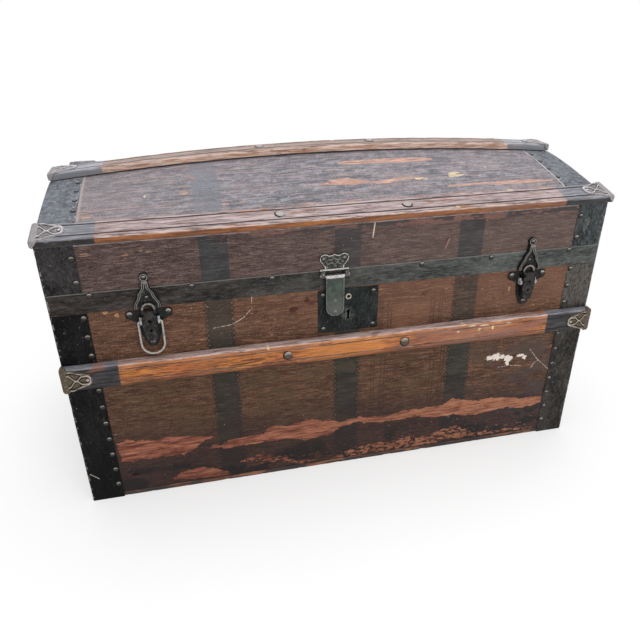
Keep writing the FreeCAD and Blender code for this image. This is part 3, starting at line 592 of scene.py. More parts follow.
def dome_covering():
    """Faded paper over both dome panels, with the front one's scrapes."""
    material, place = start("dome covering")
    x, y, _ = axes(place)
    grain = (8, 1, 1)
    shades = ("#5d5c62", "#757378", "#95919a", "#3b3a40")
    bands = ("#5c6069", "#6b6f78", "#84878f")
    banded = step(x, -150, -170) * 0.65 + 0.15
    colour, relief, wrinkle = printed_paper(
        place, x, y, grain, shades, bands, band_share=banded, ringed=False
    )
    streaks = speckle(place, 3.8, (14, 1, 1), 5, 0.66)
    smooth = 1 - near(x, BANDS[0], BAND_HALF, 1) * step(y, -168, -160) * 0.8
    mottle = speckle(place, 11, (1.7, 1, 1), 5, 0.72)
    lilac = step(speckle(place, 42, (2.5, 1, 1), 4, 0.6, 1.0), 0.46, 0.62)
    dust = step(speckle(place, 1.7, (1.6, 1, 1), 3, 0.8), 0.55, 0.64)
    coarse = (speckle(place, 6, (2.5, 1, 1), 4, 0.7) - 0.5) * 7
    scrapes = either(*(ragged(x, y, *lines, coarse, 1.0) for lines in SCRAPES))
    rim = step(abs(scrapes - 0.5), 0.5, 0.25)
    broken = step(speckle(place, 5, (6, 1, 1), 4, 0.7), 0.40, 0.54)
    scrapes = scrapes * (0.45 + broken * 0.55)
    long_lines = either(
        scratch(x, y, ((-316, -60), (-252, -58), (-155, -64), (-122, -64)), 1.1, coarse * 0.3),
        scratch(x, y, ((-384, -156), (-372, -139), (-285, -140), (-250, -141)), 1.5, coarse * 0.3),
        scratch(x, y, ((-167, -122), (-117, -123)), 0.9, coarse * 0.2),
        scratch(x, y, ((225, -115), (253, -120)), 0.9, coarse * 0.3),
        step(y + coarse * 0.4, -161, -164) * (0.35 + flecks(place, 12, (4, 1, 1), 0.5) * 0.5),
    )
    worn = either(scrapes, long_lines * broken * 0.75, blots(x, y, PINK_SPOTS, coarse * 0.2) * broken)
    strip = mix(step(speckle(place, 3, (9, 1, 1), 3), 0.42, 0.6), "#a9806f", "#d0a48f")
    inside = step(facing_up(place), -0.1, -0.4)
    pine, _ = aged_pine(place, grain)
    colour = coats(colour, [
        (step(streaks, 0.51, 0.60) * smooth * 0.7, "#a08c88"),
        (step(streaks, 0.47, 0.38) * smooth * 0.7, "#3e4048"),
        (step(mottle, 0.53, 0.61) * smooth * 0.5, "#9d99a0"),
        (step(mottle, 0.46, 0.38) * smooth * 0.55, "#44474f"),
        (lilac * 0.3, "#82757a"),
        (step(x, -120, -420) * 0.3, "#7b706f"),
        (dust * (0.35 + step(x, -40, 120) * 0.25), "#b5b0b3"),
        (worn * (0.5 + step(x, -60, 0) * 0.4), strip),
        (rim * broken * 0.5, "#c9a58f"),
        (blots(x, y, PALE_SPOTS, coarse * 0.25) * broken, "#d6c09c"),
        (flecks(place, 2.6, (1.5, 1, 1), 0.06, 0.01) * 0.8, "#e0dbd8"),
        (step(x, -376, -381) * 0.6, "#b3a39c"),
        (inside, pine),
    ])
    relief = relief - worn * 0.5 + streaks * 0.6
    return finish(material, colour, 0.5 + worn * 0.2 + wrinkle * 0.15, relief, 0.5, shine=0.3)


dress(dome_covering(), "lid_front_top_panel", "lid_back_top_panel")

# ---------------------------------------------------------------- bottom board
# Wide pine boards under the walls. Their front edge stands bare and splintered, and keeps
# ragged remains of black paint.


def fresh_mesh():
    """An empty mesh whose corners also keep how far a relief stands there, in millimetres."""
    mesh = bmesh.new()
    mesh.verts.layers.float.new("relief")
    return mesh


def skin(mesh, rows, closed=False):
    """Faces over rows of points in millimetres, a fourth number being the relief."""
    relief = mesh.verts.layers.float.get("relief")
    corners = [[mesh.verts.new(point[:3]) for point in row] for row in rows]
    for row, made in zip(rows, corners):
        for point, corner in zip(row, made):
            if len(point) == 4:
                corner[relief] = point[3]
    for first, second in zip(corners, corners[1:]):
        for i in range(len(first) if closed else len(first) - 1):
            j = (i + 1) % len(first)
            mesh.faces.new((first[i], first[j], second[j], second[i]))
    return corners


def bar(mesh, rows):
    """A closed bar through rings of points, with both ends filled."""
    rings = skin(mesh, rows, closed=True)
    mesh.faces.new(rings[0][::-1])
    mesh.faces.new(rings[-1])


def put(name, data):
    """Put a mesh, lamp or camera in the scene."""
    made = bpy.data.objects.new(name, data)
    bpy.context.scene.collection.objects.link(made)
    return made


def painted_mesh(name, mesh, material):
    """A mesh in millimetres as an object with its material."""
    bmesh.ops.scale(mesh, vec=(MM, MM, MM), verts=mesh.verts)
    data = bpy.data.meshes.new(name)
    mesh.to_mesh(data)
    mesh.free()
    data.materials.append(material)
    return put(name, data)


def piece(name, mesh, body, material, node, crease=38):
    """Make a finished piece in a CAD node's place: outward faces, smooth, riding on its body."""
    bmesh.ops.recalc_face_normals(mesh, faces=mesh.faces)
    made = painted_mesh(name, mesh, material)
    made.data.shade_smooth()
    made.data.set_sharp_from_angle(angle=math.radians(crease))
    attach(made, body)
    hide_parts(node)


def spaced(low, high, gaps):
    """Evenly spaced numbers from low to high."""
    return [low + (high - low) * i / gaps for i in range(gaps + 1)]


def wobble(point, size):
    """Smooth noise from about -1 to 1 at a point, with features of a given size."""
    return noise.noise(Vector(point) / size) * 1.6


def rounded_ring(low, high, radius):
    """Corners of a rectangle from low to high, each rounded, counterclockwise."""
    points = []
    middles = (
        (high[0] - radius, high[1] - radius), (low[0] + radius, high[1] - radius),
        (low[0] + radius, low[1] + radius), (high[0] - radius, low[1] + radius),
    )
    for quarter, (a, b) in enumerate(middles):
        for angle in spaced(quarter * math.pi / 2, (quarter + 1) * math.pi / 2, 3):
            points.append((a + radius * math.cos(angle), b + radius * math.sin(angle)))
    return points


def bottom_board():
    """The board as a bar along X, its long edges chipped."""
    low, high = span("bottom_board")
    mesh = bmesh.new()
    rows = []
    for x in spaced(low.x, high.x, 216):
        row = []
        for y, z in rounded_ring((low.y, 0.0), (high.y, high.z), 1.6):
            edge = abs(y) > SIDE - 2
            chip = max(0.0, wobble((x, y, 7), 14) - 0.35) * 1.6 + max(0.0, wobble((x, y, 3), 4)) * 0.35
            row.append((x, y - math.copysign(chip if edge else 0.0, y), z))
        rows.append(row)
    bar(mesh, rows)
    return mesh


def bare_edge_wood():
    """Splintered, darkened pine with black remains."""
    material, place = start("bottom board wood")
    y = axes(place)[1]
    colour, figure = aged_pine(place, (9, 1, 1))
    warm = step(speckle(place, 18, (5, 1, 1), 4), 0.4, 0.6)
    edge = step(abs(y), SIDE - 5, SIDE - 1)
    worn = coats(mix(warm, "#51332a", "#8d5f45"), [(step(figure, 0.47, 0.38), "#2a1a15")])
    black = flecks(place, 10, (3.5, 1, 0.5), 0.62, 0.02, 4)
    colour = coats(colour, [
        (edge, worn),
        (black * edge * 0.9, "#151212"),
    ])
    return finish(material, colour, 0.8 - black * edge * 0.2, figure + black * 0.3, 0.7)


piece("bottom_boards", bottom_board(), "trunk_body", bare_edge_wood(), "bottom_board")

# ---------------------------------------------------------------- corner bindings
# Angles of 1 mm sheet iron wrapped over the upright corners, japanned black. They are dented,
# their cut edges wander a little, and the paint is rubbed to grey iron with some rust.

SHEET = 1.0
OVER_SHEET = SHEET + 0.2  # the foot of what lies over the sheet
FOLD_RADIUS = 2.4


def japanned_iron(
    name, left, right, rub, wear=0.3, gloss=0.42, grain=(1, 1, 2), crest=None, paler_above=None, keyed=False
):
    """Black-painted sheet iron: clouds, rubbed patches, nicks and rust, painted paler to the right as
    painted light.
    """
    material, place = start(name)
    x, y, z = axes(place)
    cloud = step(speckle(place, 26, grain, 5, 0.65), 0.38, 0.64)
    scuff = speckle(place, 3.4, grain, 5, 0.75, 0.3)
    # side: painted light, from the darker left end to the paler right one
    side = step(x, -360, 400)
    dark, light = (mix(side, *pair) for pair in zip(left, right))
    rubbed = flecks(place, 11, grain, wear, 0.05, 5)
    rust = flecks(place, 9, grain, wear * 0.7, 0.05, 5)
    nick = flecks(place, 2.4, (1.4, 1, 1), 0.07, 0.01)
    layers = [
        ((rubbed * 0.35 + step(scuff, 0.58, 0.70) * 0.5) * (0.35 + side * 0.5), rub),
        (rust * 0.45, "#3d2b22"),
        (nick * 0.7, "#a39b92"),
    ]
    # The body's angles: painted paler on the right above the given height and near black low on the left,
    # painted light and shade, and one scratch.
    if paler_above is not None:
        layers += [
            (side * step(z, paler_above, paler_above + 20) * step(scuff, 0.3, 0.6) * 0.6, "#66615d"),
            ((1 - side) * step(z, 150, 40) * 0.7, "#050505"),
            (scratch(x, z, ((-428, 57), (-416, 45)), 0.6, 0) * 0.8, "#b5b0aa"),
        ]
    corner = step(abs(x), END - 3, END - 1) * step(abs(y), SIDE - 5, SIDE - 1)
    layers.append((corner * flecks(place, 3.2, (1, 1, 1.6), 0.42, 0.02) * 0.7, "#a09b95"))
    if keyed:
        off = apart(x - KEYHOLE[0], z - KEYHOLE[1])
        layers.append((step(off, 15, 5) * step(scuff, 0.40, 0.58) * 0.55, "#6c6d68"))
    # crest: a painted highlight along the sheet's top edge
    if crest is not None:
        layers.append((step(z, crest - 1.6, crest - 0.4) * 0.55, "#8b8986"))
    colour = coats(mix(cloud * 0.5 + step(scuff, 0.42, 0.60) * 0.5, dark, light), layers)
    rough = gloss + rust * 0.3 + scuff * 0.25
    return finish(material, colour, rough, scuff * 0.8 - rubbed * 0.2, 0.5, shine=0.09)


def dent(point):
    """How far a sheet is pushed in or out at a point, in millimetres."""
    broad = wobble(point, 46) * 0.22
    sharp = max(0.0, wobble((point[0] + 90, point[1], point[2]), 17) - 0.55) * 1.1
    return broad - sharp


def folded_sheet(mesh, path, heights, lean=None):
    """A sheet along an outline seen from above, (x, y, outward x, outward y), between heights."""
    outer, inner = [], []
    last = len(heights) - 1
    for row, z in enumerate(heights):
        line_out, line_in = [], []
        for column, (x, y, out_x, out_y) in enumerate(path):
            share = column / (len(path) - 1)
            level = z if lean is None else lean(y, row / last)
            fringe = 0.5 * wobble((x, y, level), 21) if column in (0, len(path) - 1) else 0.0
            push = dent((x, y, level)) if 0 < row < last else 0.0
            slide = fringe * (1 if share < 0.5 else -1)
            tangent_x, tangent_y = -out_y, out_x
            here_x = x + out_x * push + tangent_x * slide
            here_y = y + out_y * push + tangent_y * slide
            line_out.append((here_x, here_y, level))
            line_in.append((x - out_x * SHEET, y - out_y * SHEET, level))
        outer.append(line_out)
        inner.append(line_in[::-1])
    bar(mesh, [first + second for first, second in zip(outer, inner)])


def corner_path(x, y, width):
    """The outline of an angle round one upright corner, from its front leg to its end leg."""
    radius = FOLD_RADIUS
    east, north = math.copysign(1, x), math.copysign(1, y)
    reach_x, reach_y = abs(x), abs(y)
    points = [(reach_x - width + a, reach_y, 0, 1) for a in spaced(0, width - radius, 12)]
    for angle in spaced(0, math.pi / 2, 5)[1:-1]:
        out = (math.sin(angle), math.cos(angle))
        points.append((reach_x - radius + radius * out[0], reach_y - radius + radius * out[1], *out))
    points += [(reach_x, reach_y - a, 1, 0) for a in spaced(radius, width, 12)]
    return [(a * east, b * north, out_a * east, out_b * north) for a, b, out_a, out_b in points]


LID_EDGE = 453.0  # the dome's height along its front and back edges
RIDGE = 490.0  # its height over the end boards
CROWN = 21.5  # the rise of the ridge towards mid-length
CROWN_RADIUS = (END**2 + CROWN**2) / (2 * CROWN)
CROWN_REACH = 0.83  # the share of the half depth over which the crown dies out


def dome_height(x, y):
    """Height of the dome's outside."""
    share = abs(y) / SIDE
    flank = RIDGE - (RIDGE - LID_EDGE) * share**1.5
    crown = math.sqrt(CROWN_RADIUS**2 - x**2) - math.sqrt(CROWN_RADIUS**2 - END**2)
    return flank + crown * max(0.0, 1 - (share / CROWN_REACH) ** 1.5) ** 1.25


BINDING = 51.0  # each leg, measured from the outside of the corner


def bindings(node, y_sign):
    """The pair of angles at the front or the back of the body or the lid."""
    low, high = span(node)
    reach = max(abs(low.y), abs(high.y))

    def lean(y, share):
        """The lid's angles are cut off along the dome."""
        inset = max(0.0, reach - abs(y))
        top = LID_EDGE - 3 + inset / (BINDING - 1) * (high.z - LID_EDGE + 3)
        return low.z + (top - low.z) * share

    mesh = bmesh.new()
    for x_sign in (-1, 1):
        path = corner_path(x_sign * high.x, y_sign * reach, BINDING)
        if node.startswith("lid"):
            folded_sheet(mesh, path, spaced(0, 1, 12), lean)
        else:
            folded_sheet(mesh, path, spaced(low.z, high.z, 56))
    return mesh


# Left and right pairs of shades: the paler right is painted light.
corner_iron = japanned_iron(
    "corner iron", ("#020202", "#1c1b1c"), ("#161514", "#433f3b"), "#6a6661", paler_above=262
)
# crest paints a highlight along the top edge of the lid's angles.
lid_iron = japanned_iron(
    "lid corner iron", ("#100f10", "#3f3c3d"), ("#212526", "#54595b"), "#74756f", crest=450
)
for group, body, material in (("body", "trunk_body", corner_iron), ("lid", "lid", lid_iron)):
    for side, y_sign in (("front", -1), ("back", 1)):
        node = f"{group}_{side}_bindings"
        piece(f"{group}_{side}_corner_irons", bindings(node, y_sign), body, material, node)

# ---------------------------------------------------------------- lid band
# A hoop of the same sheet, 32 mm high, riveted round the lid's lower edge. It closes down on
# the body's rim and has a greenish black paint with brushed streaks.


def hoop():
    """The band as one closed ring with rounded corners."""
    low, high = span("lid_band")
    corner = FOLD_RADIUS
    ring = []
    half_x, half_y = high.x - corner, high.y - corner
    for quarter, (east, north) in enumerate(((1, 1), (-1, 1), (-1, -1), (1, -1))):
        for angle in spaced(quarter * math.pi / 2, (quarter + 1) * math.pi / 2, 4):
            out = (math.cos(angle), math.sin(angle))
            ring.append((east * half_x + corner * out[0], north * half_y + corner * out[1], *out))
        here = ring[-1]
        length = 2 * (half_x if quarter % 2 == 0 else half_y)
        count = int(length / 9)
        turn = (-here[3], here[2])
        for i in range(1, count):
            shift = length * i / count
            ring.append((here[0] + turn[0] * shift, here[1] + turn[1] * shift, here[2], here[3]))
    rows = []
    for z in spaced(low.z, high.z, 6):
        rows.append([])
        for x, y, a, b in ring:
            push = dent((x, y, z)) if low.z < z < high.z else 0.0
            rows[-1].append((x + a * push, y + b * push, z + 0.25 * wobble((x, y, z), 30)))
    for z in (high.z, low.z):
        rows.append([(x - a * SHEET, y - b * SHEET, z) for x, y, a, b in ring])
    mesh = bmesh.new()
    skin(mesh, rows + [rows[0]], closed=True)
    bmesh.ops.remove_doubles(mesh, verts=mesh.verts, dist=0.001)
    return mesh


# Left and right pairs of shades, the paler right painted light; crest paints a highlight on the band's top
# edge.
band_shades = ("#191615", "#494340"), ("#2f3230", "#626663")
band_iron = japanned_iron(
    "band iron", *band_shades, "#6d6e6a", wear=0.34, gloss=0.40, grain=(4, 4, 1), crest=span("lid_band")[1].z
)
piece("lid_hoop", hoop(), "lid", band_iron, "lid_band")

# ---------------------------------------------------------------- dome bindings
# Strips of sheet iron nailed over the dome's ends, bent along the curve and folded down the
# end boards. Sky-facing, they are the greyest of the ironwork.


NAILED = ((-178.5, -24.8), (24.8, 178.5))  # the strips stop at the slats
FOLDED_DOWN = 22
STAND = 0.1  # clear of the boards


def dome_strips(node):
    """Two strips on top and the folded edge, at one end of the dome."""
    low, high = span(node)
    sign = math.copysign(1, low.x + high.x)
    inner = min(abs(low.x), abs(high.x))
    outer = max(abs(low.x), abs(high.x))
    mesh = bmesh.new()
    for y_range in NAILED:
        top, under = [], []
        for y in spaced(*y_range, 40):
            top.append([])
            under.append([])
            for i, x in enumerate(spaced(inner, outer, 12)):
                slide = 0.4 * wobble((x, y, 9), 24) if i == 0 else 0.0
                bed = dome_height(min(x, END), y) + STAND
                lift = SHEET + max(-0.3, dent((x * sign, y, 500)) * 0.5)
                top[-1].append(((x + slide) * sign, y, bed + lift))
                under[-1].append(((x + slide) * sign, y, bed))
        bar(mesh, [first + second[::-1] for first, second in zip(top, under)])
    rows = []
    for y in spaced(-165, 165, 80):
        crest = dome_height(END, y) - STAND
        row = []
        for drop in spaced(0, FOLDED_DOWN, 5):
            bulge = max(-0.4, dent((outer * sign, y, crest - drop)) * 0.6) if 0 < drop < FOLDED_DOWN else 0.0
            row.append(((outer + bulge) * sign, y, crest - drop))
        rows.append(row + [(END * sign, y, crest - FOLDED_DOWN), (END * sign, y, crest)])
    bar(mesh, rows)
    return mesh


def dome_iron():
    """The same iron gone grey in the light, with white scuffs along its inner edge."""
    material, place = start("dome iron")
    x = axes(place)[0]
    cloud = step(speckle(place, 22, (1, 2, 1), 5, 0.65), 0.38, 0.62)
    scuff = speckle(place, 5, (1.4, 1.4, 1), 5, 0.72, 0.4)
    inner = step(abs(x), 396, 388)
    colour = coats(mix(cloud, "#474a51", "#60646b"), [
        (step(scuff, 0.5, 0.60) * 0.7, "#7f828a"),
        (step(scuff, 0.47, 0.38) * 0.6, "#2c2e33"),
        (flecks(place, 3, (1, 2, 1), 0.36, 0.02, 4) * inner * 0.7, "#b5b3b0"),
        (step(abs(x), 383.4, 382.4) * step(x, 200, 210), "#d6d4d2"),
        (flecks(place, 5, (2, 1, 1), 0.2, 0.03, 4) * 0.6, "#98999a"),
    ])
    return finish(material, colour, 0.4 + scuff * 0.3, scuff, 0.4, shine=0.3)


grey_iron = dome_iron()
for side in ("left", "right"):
    node = f"lid_{side}_dome_binding"
    piece(f"lid_{side}_dome_irons", dome_strips(node), "lid", grey_iron, node)

# ---------------------------------------------------------------- slats
# Bent oak slats with two grooves, nailed along the trunk. Their ends are painted black with the ironwork,
# and their sky-facing sides are grey and lilac over orange oak: weathering with a painted sky reflection.

SLAT_HALF = span("body_front_slat")[1].x - 1.5
BODY_SLAT = (38.0, 14.0)  # width and thickness
LID_SLAT = (44.0, 10.5)
SLAT_NOSE = 8.5  # front and back lid slats stand out past the walls by this much
SLAT_LIFT = 0.9  # off the dome's slope
TILT = math.atan2(dome_height(0, CROWN_REACH * SIDE) - LID_EDGE, (1 - CROWN_REACH) * SIDE)
TILT_IN = LID_SLAT[0] / 2 - SLAT_NOSE
LEAN, RISE = math.cos(TILT), math.sin(TILT)
LID_SLAT_Y = SIDE - TILT_IN * LEAN + SLAT_LIFT * RISE
LID_SLAT_Z = LID_EDGE + TILT_IN * RISE + SLAT_LIFT * LEAN
RIDGE_BED = CROWN_RADIUS + 0.5


def laid(origin, across, up):
    """How a straight slat lies: (along, across, up) in the slat to a place in the trunk."""
    origin, across, up = Vector(origin), Vector(across), Vector(up)
    return lambda x, a, h: Vector((x, 0, 0)) + origin + across * a + up * h


def on_ridge(x, a, h):
    """The ridge slat follows the dome's arc."""
    reach = RIDGE_BED + h
    share = x / CROWN_RADIUS
    return Vector((reach * share, a, RIDGE + CROWN - CROWN_RADIUS + reach * math.sqrt(1 - share**2)))


SLATS = {
    "body_front": (BODY_SLAT, laid((0, -SIDE, 245), (0, 0, 1), (0, -1, 0))),
    "body_back": (BODY_SLAT, laid((0, SIDE, 245), (0, 0, -1), (0, 1, 0))),
    "lid_front": (LID_SLAT, laid((0, -LID_SLAT_Y, LID_SLAT_Z), (0, LEAN, RISE), (0, -RISE, LEAN))),
    "lid_back": (LID_SLAT, laid((0, LID_SLAT_Y, LID_SLAT_Z), (0, LEAN, -RISE), (0, RISE, LEAN))),
    "lid_ridge": (LID_SLAT, on_ridge),
}


def slat_section(width, thickness, foot):
    """Half of a slat's section from foot to middle, as (across, up, is it an edge, relief)."""
    half = width / 2
    groove = half - 9.0
    points = [(half, foot, 0, 0), (half, thickness * 0.35, 0.3, 0), (half, thickness - 4, 0.7, 0)]
    for angle in spaced(0, math.pi / 2, 4)[1:]:
        points.append((half - 4 + 4 * math.cos(angle), thickness - 4 + 4 * math.sin(angle), 1, 0))
    wide = 1.2 if width > 40 else 0.7
    points += [(groove + wide + 0.8, thickness, 0.2, 0), (groove + wide, thickness - 0.2, 0.1, -0.9)]
    points += [(groove, thickness - 1.4, 0, -1), (groove - wide, thickness - 0.2, 0.1, -0.9)]
    points += [(groove - wide - 0.8, thickness, 0.1, 0), (groove / 2, thickness, 0, 0)]
    return points + [(0, thickness, 0, 0)]


def slat(size, lay, seed):
    """One slat, its outer edges rubbed and nicked."""
    mesh = fresh_mesh()
    rows = []
    for x in spaced(-SLAT_HALF, SLAT_HALF, 300):
        foot = OVER_SHEET if abs(x) > END - BINDING and size == BODY_SLAT else 0.0
        half_ring = slat_section(*size, foot)
        ring = half_ring + [(-a, *rest) for a, *rest in half_ring[-2::-1]]
        row = []
        for a, h, edge, deep in ring:
            rub = wobble((x * 0.5, a * 2 + seed, h * 3), 9) * 0.35 * edge
            nick = max(0.0, wobble((x * 0.6 + seed, a, h), 7) - 0.75) * 2.2 * edge
            inward = (rub + nick) if edge else 0.0
            wave = 0.12 * wobble((x * 0.3, a * 4, seed), 12) if h > size[1] - 0.1 else 0.0
            spot = lay(x, a - math.copysign(inward, a) * (edge > 0.5), h - inward * 0.7 + wave)
            row.append((*spot, deep))
        rows.append(row)
    bar(mesh, rows)
    return mesh


def oak(name, facing, weathered_sheen_greys, black_paint_sky_sheen, grooved, bleached, bare=(), chips=()):
    """Oak with long grain, dark pores and black-painted ends; sky-facing sides weathered grey with a painted
    sky sheen.
    """
    material, place = start(name)
    x, _, z = axes(place)
    grain = (12, 1, 1)
    figure = speckle(place, 4.2, grain, 5, 0.66, 0.9)
    broad = speckle(place, 20, (4, 1, 1), 4, 0.6)
    pores = speckle(place, 1.8, (14, 1, 1), 3, 0.65)
    knots = flecks(place, 11, (2.6, 1, 1), 0.22, 0.05, 4)
    on_body, on_lid = step(z, 300, 290), step(z, 300, 310)
    fresh = near(x, -2, 62, 24) * on_body
    shaded = near(x, -215, 24, 20) * on_body
    dusty = step(x, 0, 240) * (1 - fresh) * step(speckle(place, 16, (4, 1, 1), 4), 0.32, 0.52)
    # low: the lower edges of the slats' faces, painted darker as painted shade
    low = either(step(z, 237, 229), step(z, 459, 451) * on_lid)
    lines = speckle(place, 2.4, (16, 1, 1), 4, 0.7)
    # sky: where the surface faces up; there the oak is painted grey and lilac, weathering with a painted sky
    # reflection
    rise = facing_up(place) + (figure - 0.5) * 0.5
    sky = step(rise, *facing)
    grey = coats(mix(step(speckle(place, 6, (13, 1, 1), 4), 0.38, 0.62), weathered_sheen_greys[0], weathered_sheen_greys[1]), [
        (step(lines, 0.50, 0.41) * 0.85, weathered_sheen_greys[2]),
        (step(lines, 0.55, 0.64) * 0.6, weathered_sheen_greys[3]),
    ])
    soil = flecks(place, 9, (4, 1, 1), 0.26, 0.03, 4)
    colour = coats(mix(step(broad, 0.36, 0.64), "#93502c", "#bd7538"), [
        (step(broad, 0.58, 0.68) * 0.6, "#c07f2c"),
        (step(figure, 0.50, 0.38) * 0.9, "#542d1c"),
        (step(figure, 0.56, 0.68) * 0.75, "#cf9260"),
        (step(pores, 0.48, 0.38) * 0.8, "#3c2118"),
        (knots * 0.7, "#41282a"),
        (fresh * 0.5, "#d88c48"),
        (shaded * 0.35, "#6b4030"),
        (dusty * 0.7, "#8e6557"),
        # painted light and shade: the upper part of the body slat's face painted paler, the lower edges
        # darker
        (step(z, 251, 261) * on_body * 0.45, "#b87c52"),
        (low * 0.55, "#4b2d20"),
        (bleached, mix(step(lines, 0.42, 0.60), "#b08d7a", "#f0dace")),
        (on_lid * (0.4 - 0.4 * bleached), "#6e4930"),
        (sky * step(speckle(place, 14, (5, 1, 1), 4), 0.28, 0.42), grey),
        # painted highlight along the rounded upper edges, between top and face
        (near(rise, 0.5, 0.2, 0.2) * step(lines, 0.40, 0.52) * 0.65, "#d9bfb5"),
        (soil * 0.6, "#43302d"),
    ])

    painted = step(abs(x) + (speckle(place, 2.5, EVEN, 3) - 0.5) * 5, END - 80.6, END - 79.6)
    kept = 1 - flecks(place, 8, (3, 1, 1), 0.30, 0.03, 5) * 0.7
    # On the black ends: a painted sky sheen where they face up, the ridge's ends painted slate grey with it,
    # painted shade on lower edges.
    black = coats(mix(step(speckle(place, 7, (5, 1, 1), 4), 0.4, 0.62), "#1f1d1f", "#3b393c"), [
        (step(lines, 0.56, 0.68) * 0.5, "#6e5d5d"),
        (bleached, black_paint_sky_sheen[0]),
        (sky * 0.85, mix(step(lines, 0.42, 0.6), *black_paint_sky_sheen)),
        (low * 0.6, "#111012"),
    ])
    layers = [(painted * 0.5, "#5d4a44"), (painted * kept, black)]
    ruffle = (speckle(place, 5, (2, 1, 1), 4, 0.7) - 0.5) * 1.2
    if bare:
        # bare patches are painted paler where they face the sky: painted sky sheen
        layers.append((blots(x, z, bare, ruffle) * 0.85, mix(sky, "#6b4238", "#92716a")))
    if chips:
        layers.append((blots(x, z, chips, ruffle) * step(pores, 0.44, 0.5), "#d9bd92"))
    # grooves painted dark: dirt with painted shade in the recess
    grooves = step(-relief_of(place), 0.3, 0.65)
    layers.append((grooves * either(painted * 0.8, grooved), "#150b07"))
    colour = coats(colour, layers)
    relief = step(pores, 0.36, 0.52) * 0.6 + figure * 0.7
    rough = 0.52 + sky * 0.12 - painted * kept * 0.12
    return finish(material, colour, rough, relief, 0.5, shine=0.3)


SLAT_CHIPS = [
    (198, 262, 4, 2), (214, 259, 6, 2), (236, 257, 9, 1.5), (228, 250, 3, 3), (252, 251, 2, 5),
    (190, 250, 3, 2), (262, 261, 5, 1.5), (-127, 262, 2, 4), (281, 256, 5, 2), (307, 259, 3, 1),
]
# Per slat: the sky-facing range, weathered greys with painted sky sheen, and the painted sky sheen on the
# black ends.
SLAT_OAK = {
    "body_front": oak(
        "body slat oak", (0.30, 0.70), ("#9a827c", "#bea8a3", "#6b534c", "#cdbfba"),
        ("#6c6c73", "#96969c"), grooved=0.4, bleached=0.0, bare=[(-381, 261, 11, 4)], chips=SLAT_CHIPS,
    ),
    "lid_front": oak(
        "lid slat oak", (0.02, 0.50), ("#958381", "#b3a1a0", "#554440", "#cabcb9"),
        ("#6d6f76", "#9a9aa0"), grooved=0.9, bleached=0.0, chips=[(219, 464, 3, 1), (171, 463, 4, 1)],
    ),
    "lid_ridge": oak(
        "ridge slat oak", (0.30, 0.80), ("#8d7a73", "#ad9a92", "#6b5850", "#c6b5ad"),
        ("#8b8d93", "#b5b5bb"), grooved=0.9, bleached=0.74,
    ),
}
for seed, (where, (size, lay)) in enumerate(SLATS.items()):
    body = "trunk_body" if where.startswith("body") else "lid"
    wood = SLAT_OAK.get(where, SLAT_OAK[where.replace("back", "front")])
    piece(f"{where}_oak_slat", slat(size, lay, 31 * seed), body, wood, f"{where}_slat")

# ---------------------------------------------------------------- slat clamps
# Cast or stamped iron ends nailed over the slats. A plain cuff wraps the slat's end; the face
# has wavy raised rims and a ribbon that crosses once and loops round the rivet.

CLAMP_WALL = 1.8
CLAMP_TIP = SLAT_HALF + CLAMP_WALL
CUFF = 9.0
NOSE_FROM, NOSE_END = 34.5, 44.4
LOOP_MIDDLE = 37
CLAMP_RIVET_S = 38.1


def bell(distance, width):
    """A rounded ridge: 1 on its line, 0 from width away."""
    return max(0.0, 1 - (distance / width) ** 2)


def line_through(points, s):
    """The height at s of a smooth line through (s, height) points."""
    for (a, low), (b, high) in zip(points, points[1:]):
        if s <= b:
            share = max(0.0, (s - a) / (b - a))
            return low + (high - low) * share * share * (3 - 2 * share)
    return points[-1][1]


def casting(mesh, lay, stations, limits, levels, relief, corner, columns):
    """A plate drawn along s: limits(s) across, levels(s) from foot to face, a relief on it."""
    rows = []
    for s in stations:
        low, high = limits(s)
        foot, crest = levels(s)
        middle, reach = (low + high) / 2, (high - low) / 2
        bend = min(corner, reach * 0.5, (crest - foot) * 0.7)
        side = [(reach, foot), (reach, crest - bend)]
        for angle in spaced(0, math.pi / 2, 3)[1:]:
            side.append((reach - bend * (1 - math.cos(angle)), crest - bend * (1 - math.sin(angle))))
        ring = [(middle + t, h, 0.0) for t, h in side]
        for t in spaced(reach - bend, bend - reach, columns)[1:-1]:
            raised = relief(s, middle + t)
            ring.append((middle + t, crest + raised, raised))
        ring += [(middle - t, h, 0.0) for t, h in side[::-1]]
        rows.append([(*lay(s, t, h), raised) for t, h, raised in ring])
    bar(mesh, rows)


def clamp_half(s, half):
    """Half width of the clamp's face at s from its outer end."""
    nose = half * 0.58
    if s > NOSE_FROM:
        return nose * math.sqrt(max(0.002, 1 - ((s - NOSE_FROM) / 10.0) ** 2))
    wide = half + CLAMP_WALL
    points = [(0, wide - 2.6), (3, wide), (CUFF, wide), (CUFF + 2.5, half - 1.2), (15, half - 0.9)]
    return line_through(points + [(25, half * 0.74), (31, half * 0.66), (NOSE_FROM, nose)], s)


def ornament(s, t, half, fanned):
    """Height of the relief on the face, in millimetres."""
    if s < CUFF + 1.4:
        return 0.35 + 0.25 * wobble((s * 3, t * 2, half), 5)
    loop = half * 0.36
    off = abs(clamp_half(s, half) - abs(t) - 1.6 - 0.5 * math.sin((s - 10) * 0.42))
    if s < LOOP_MIDDLE:
        side = line_through([(11, half * 0.52), (22, 0), (31, -loop), (LOOP_MIDDLE, -loop)], s)
        off = min(off, abs(t - side), abs(t + side))
    else:
        off = min(off, abs(math.hypot((s - LOOP_MIDDLE) / 5.0, t / loop) - 1) * 5.5)
    fan = 0.0
    if fanned and s < 33 and off > 2.6:
        fan = 0.34 * math.sin(math.atan2(t, 52 - s) * 90)
    return bell(off, 1.6) * 1.1 - bell(off - 2.7, 1.2) * 0.6 + fan


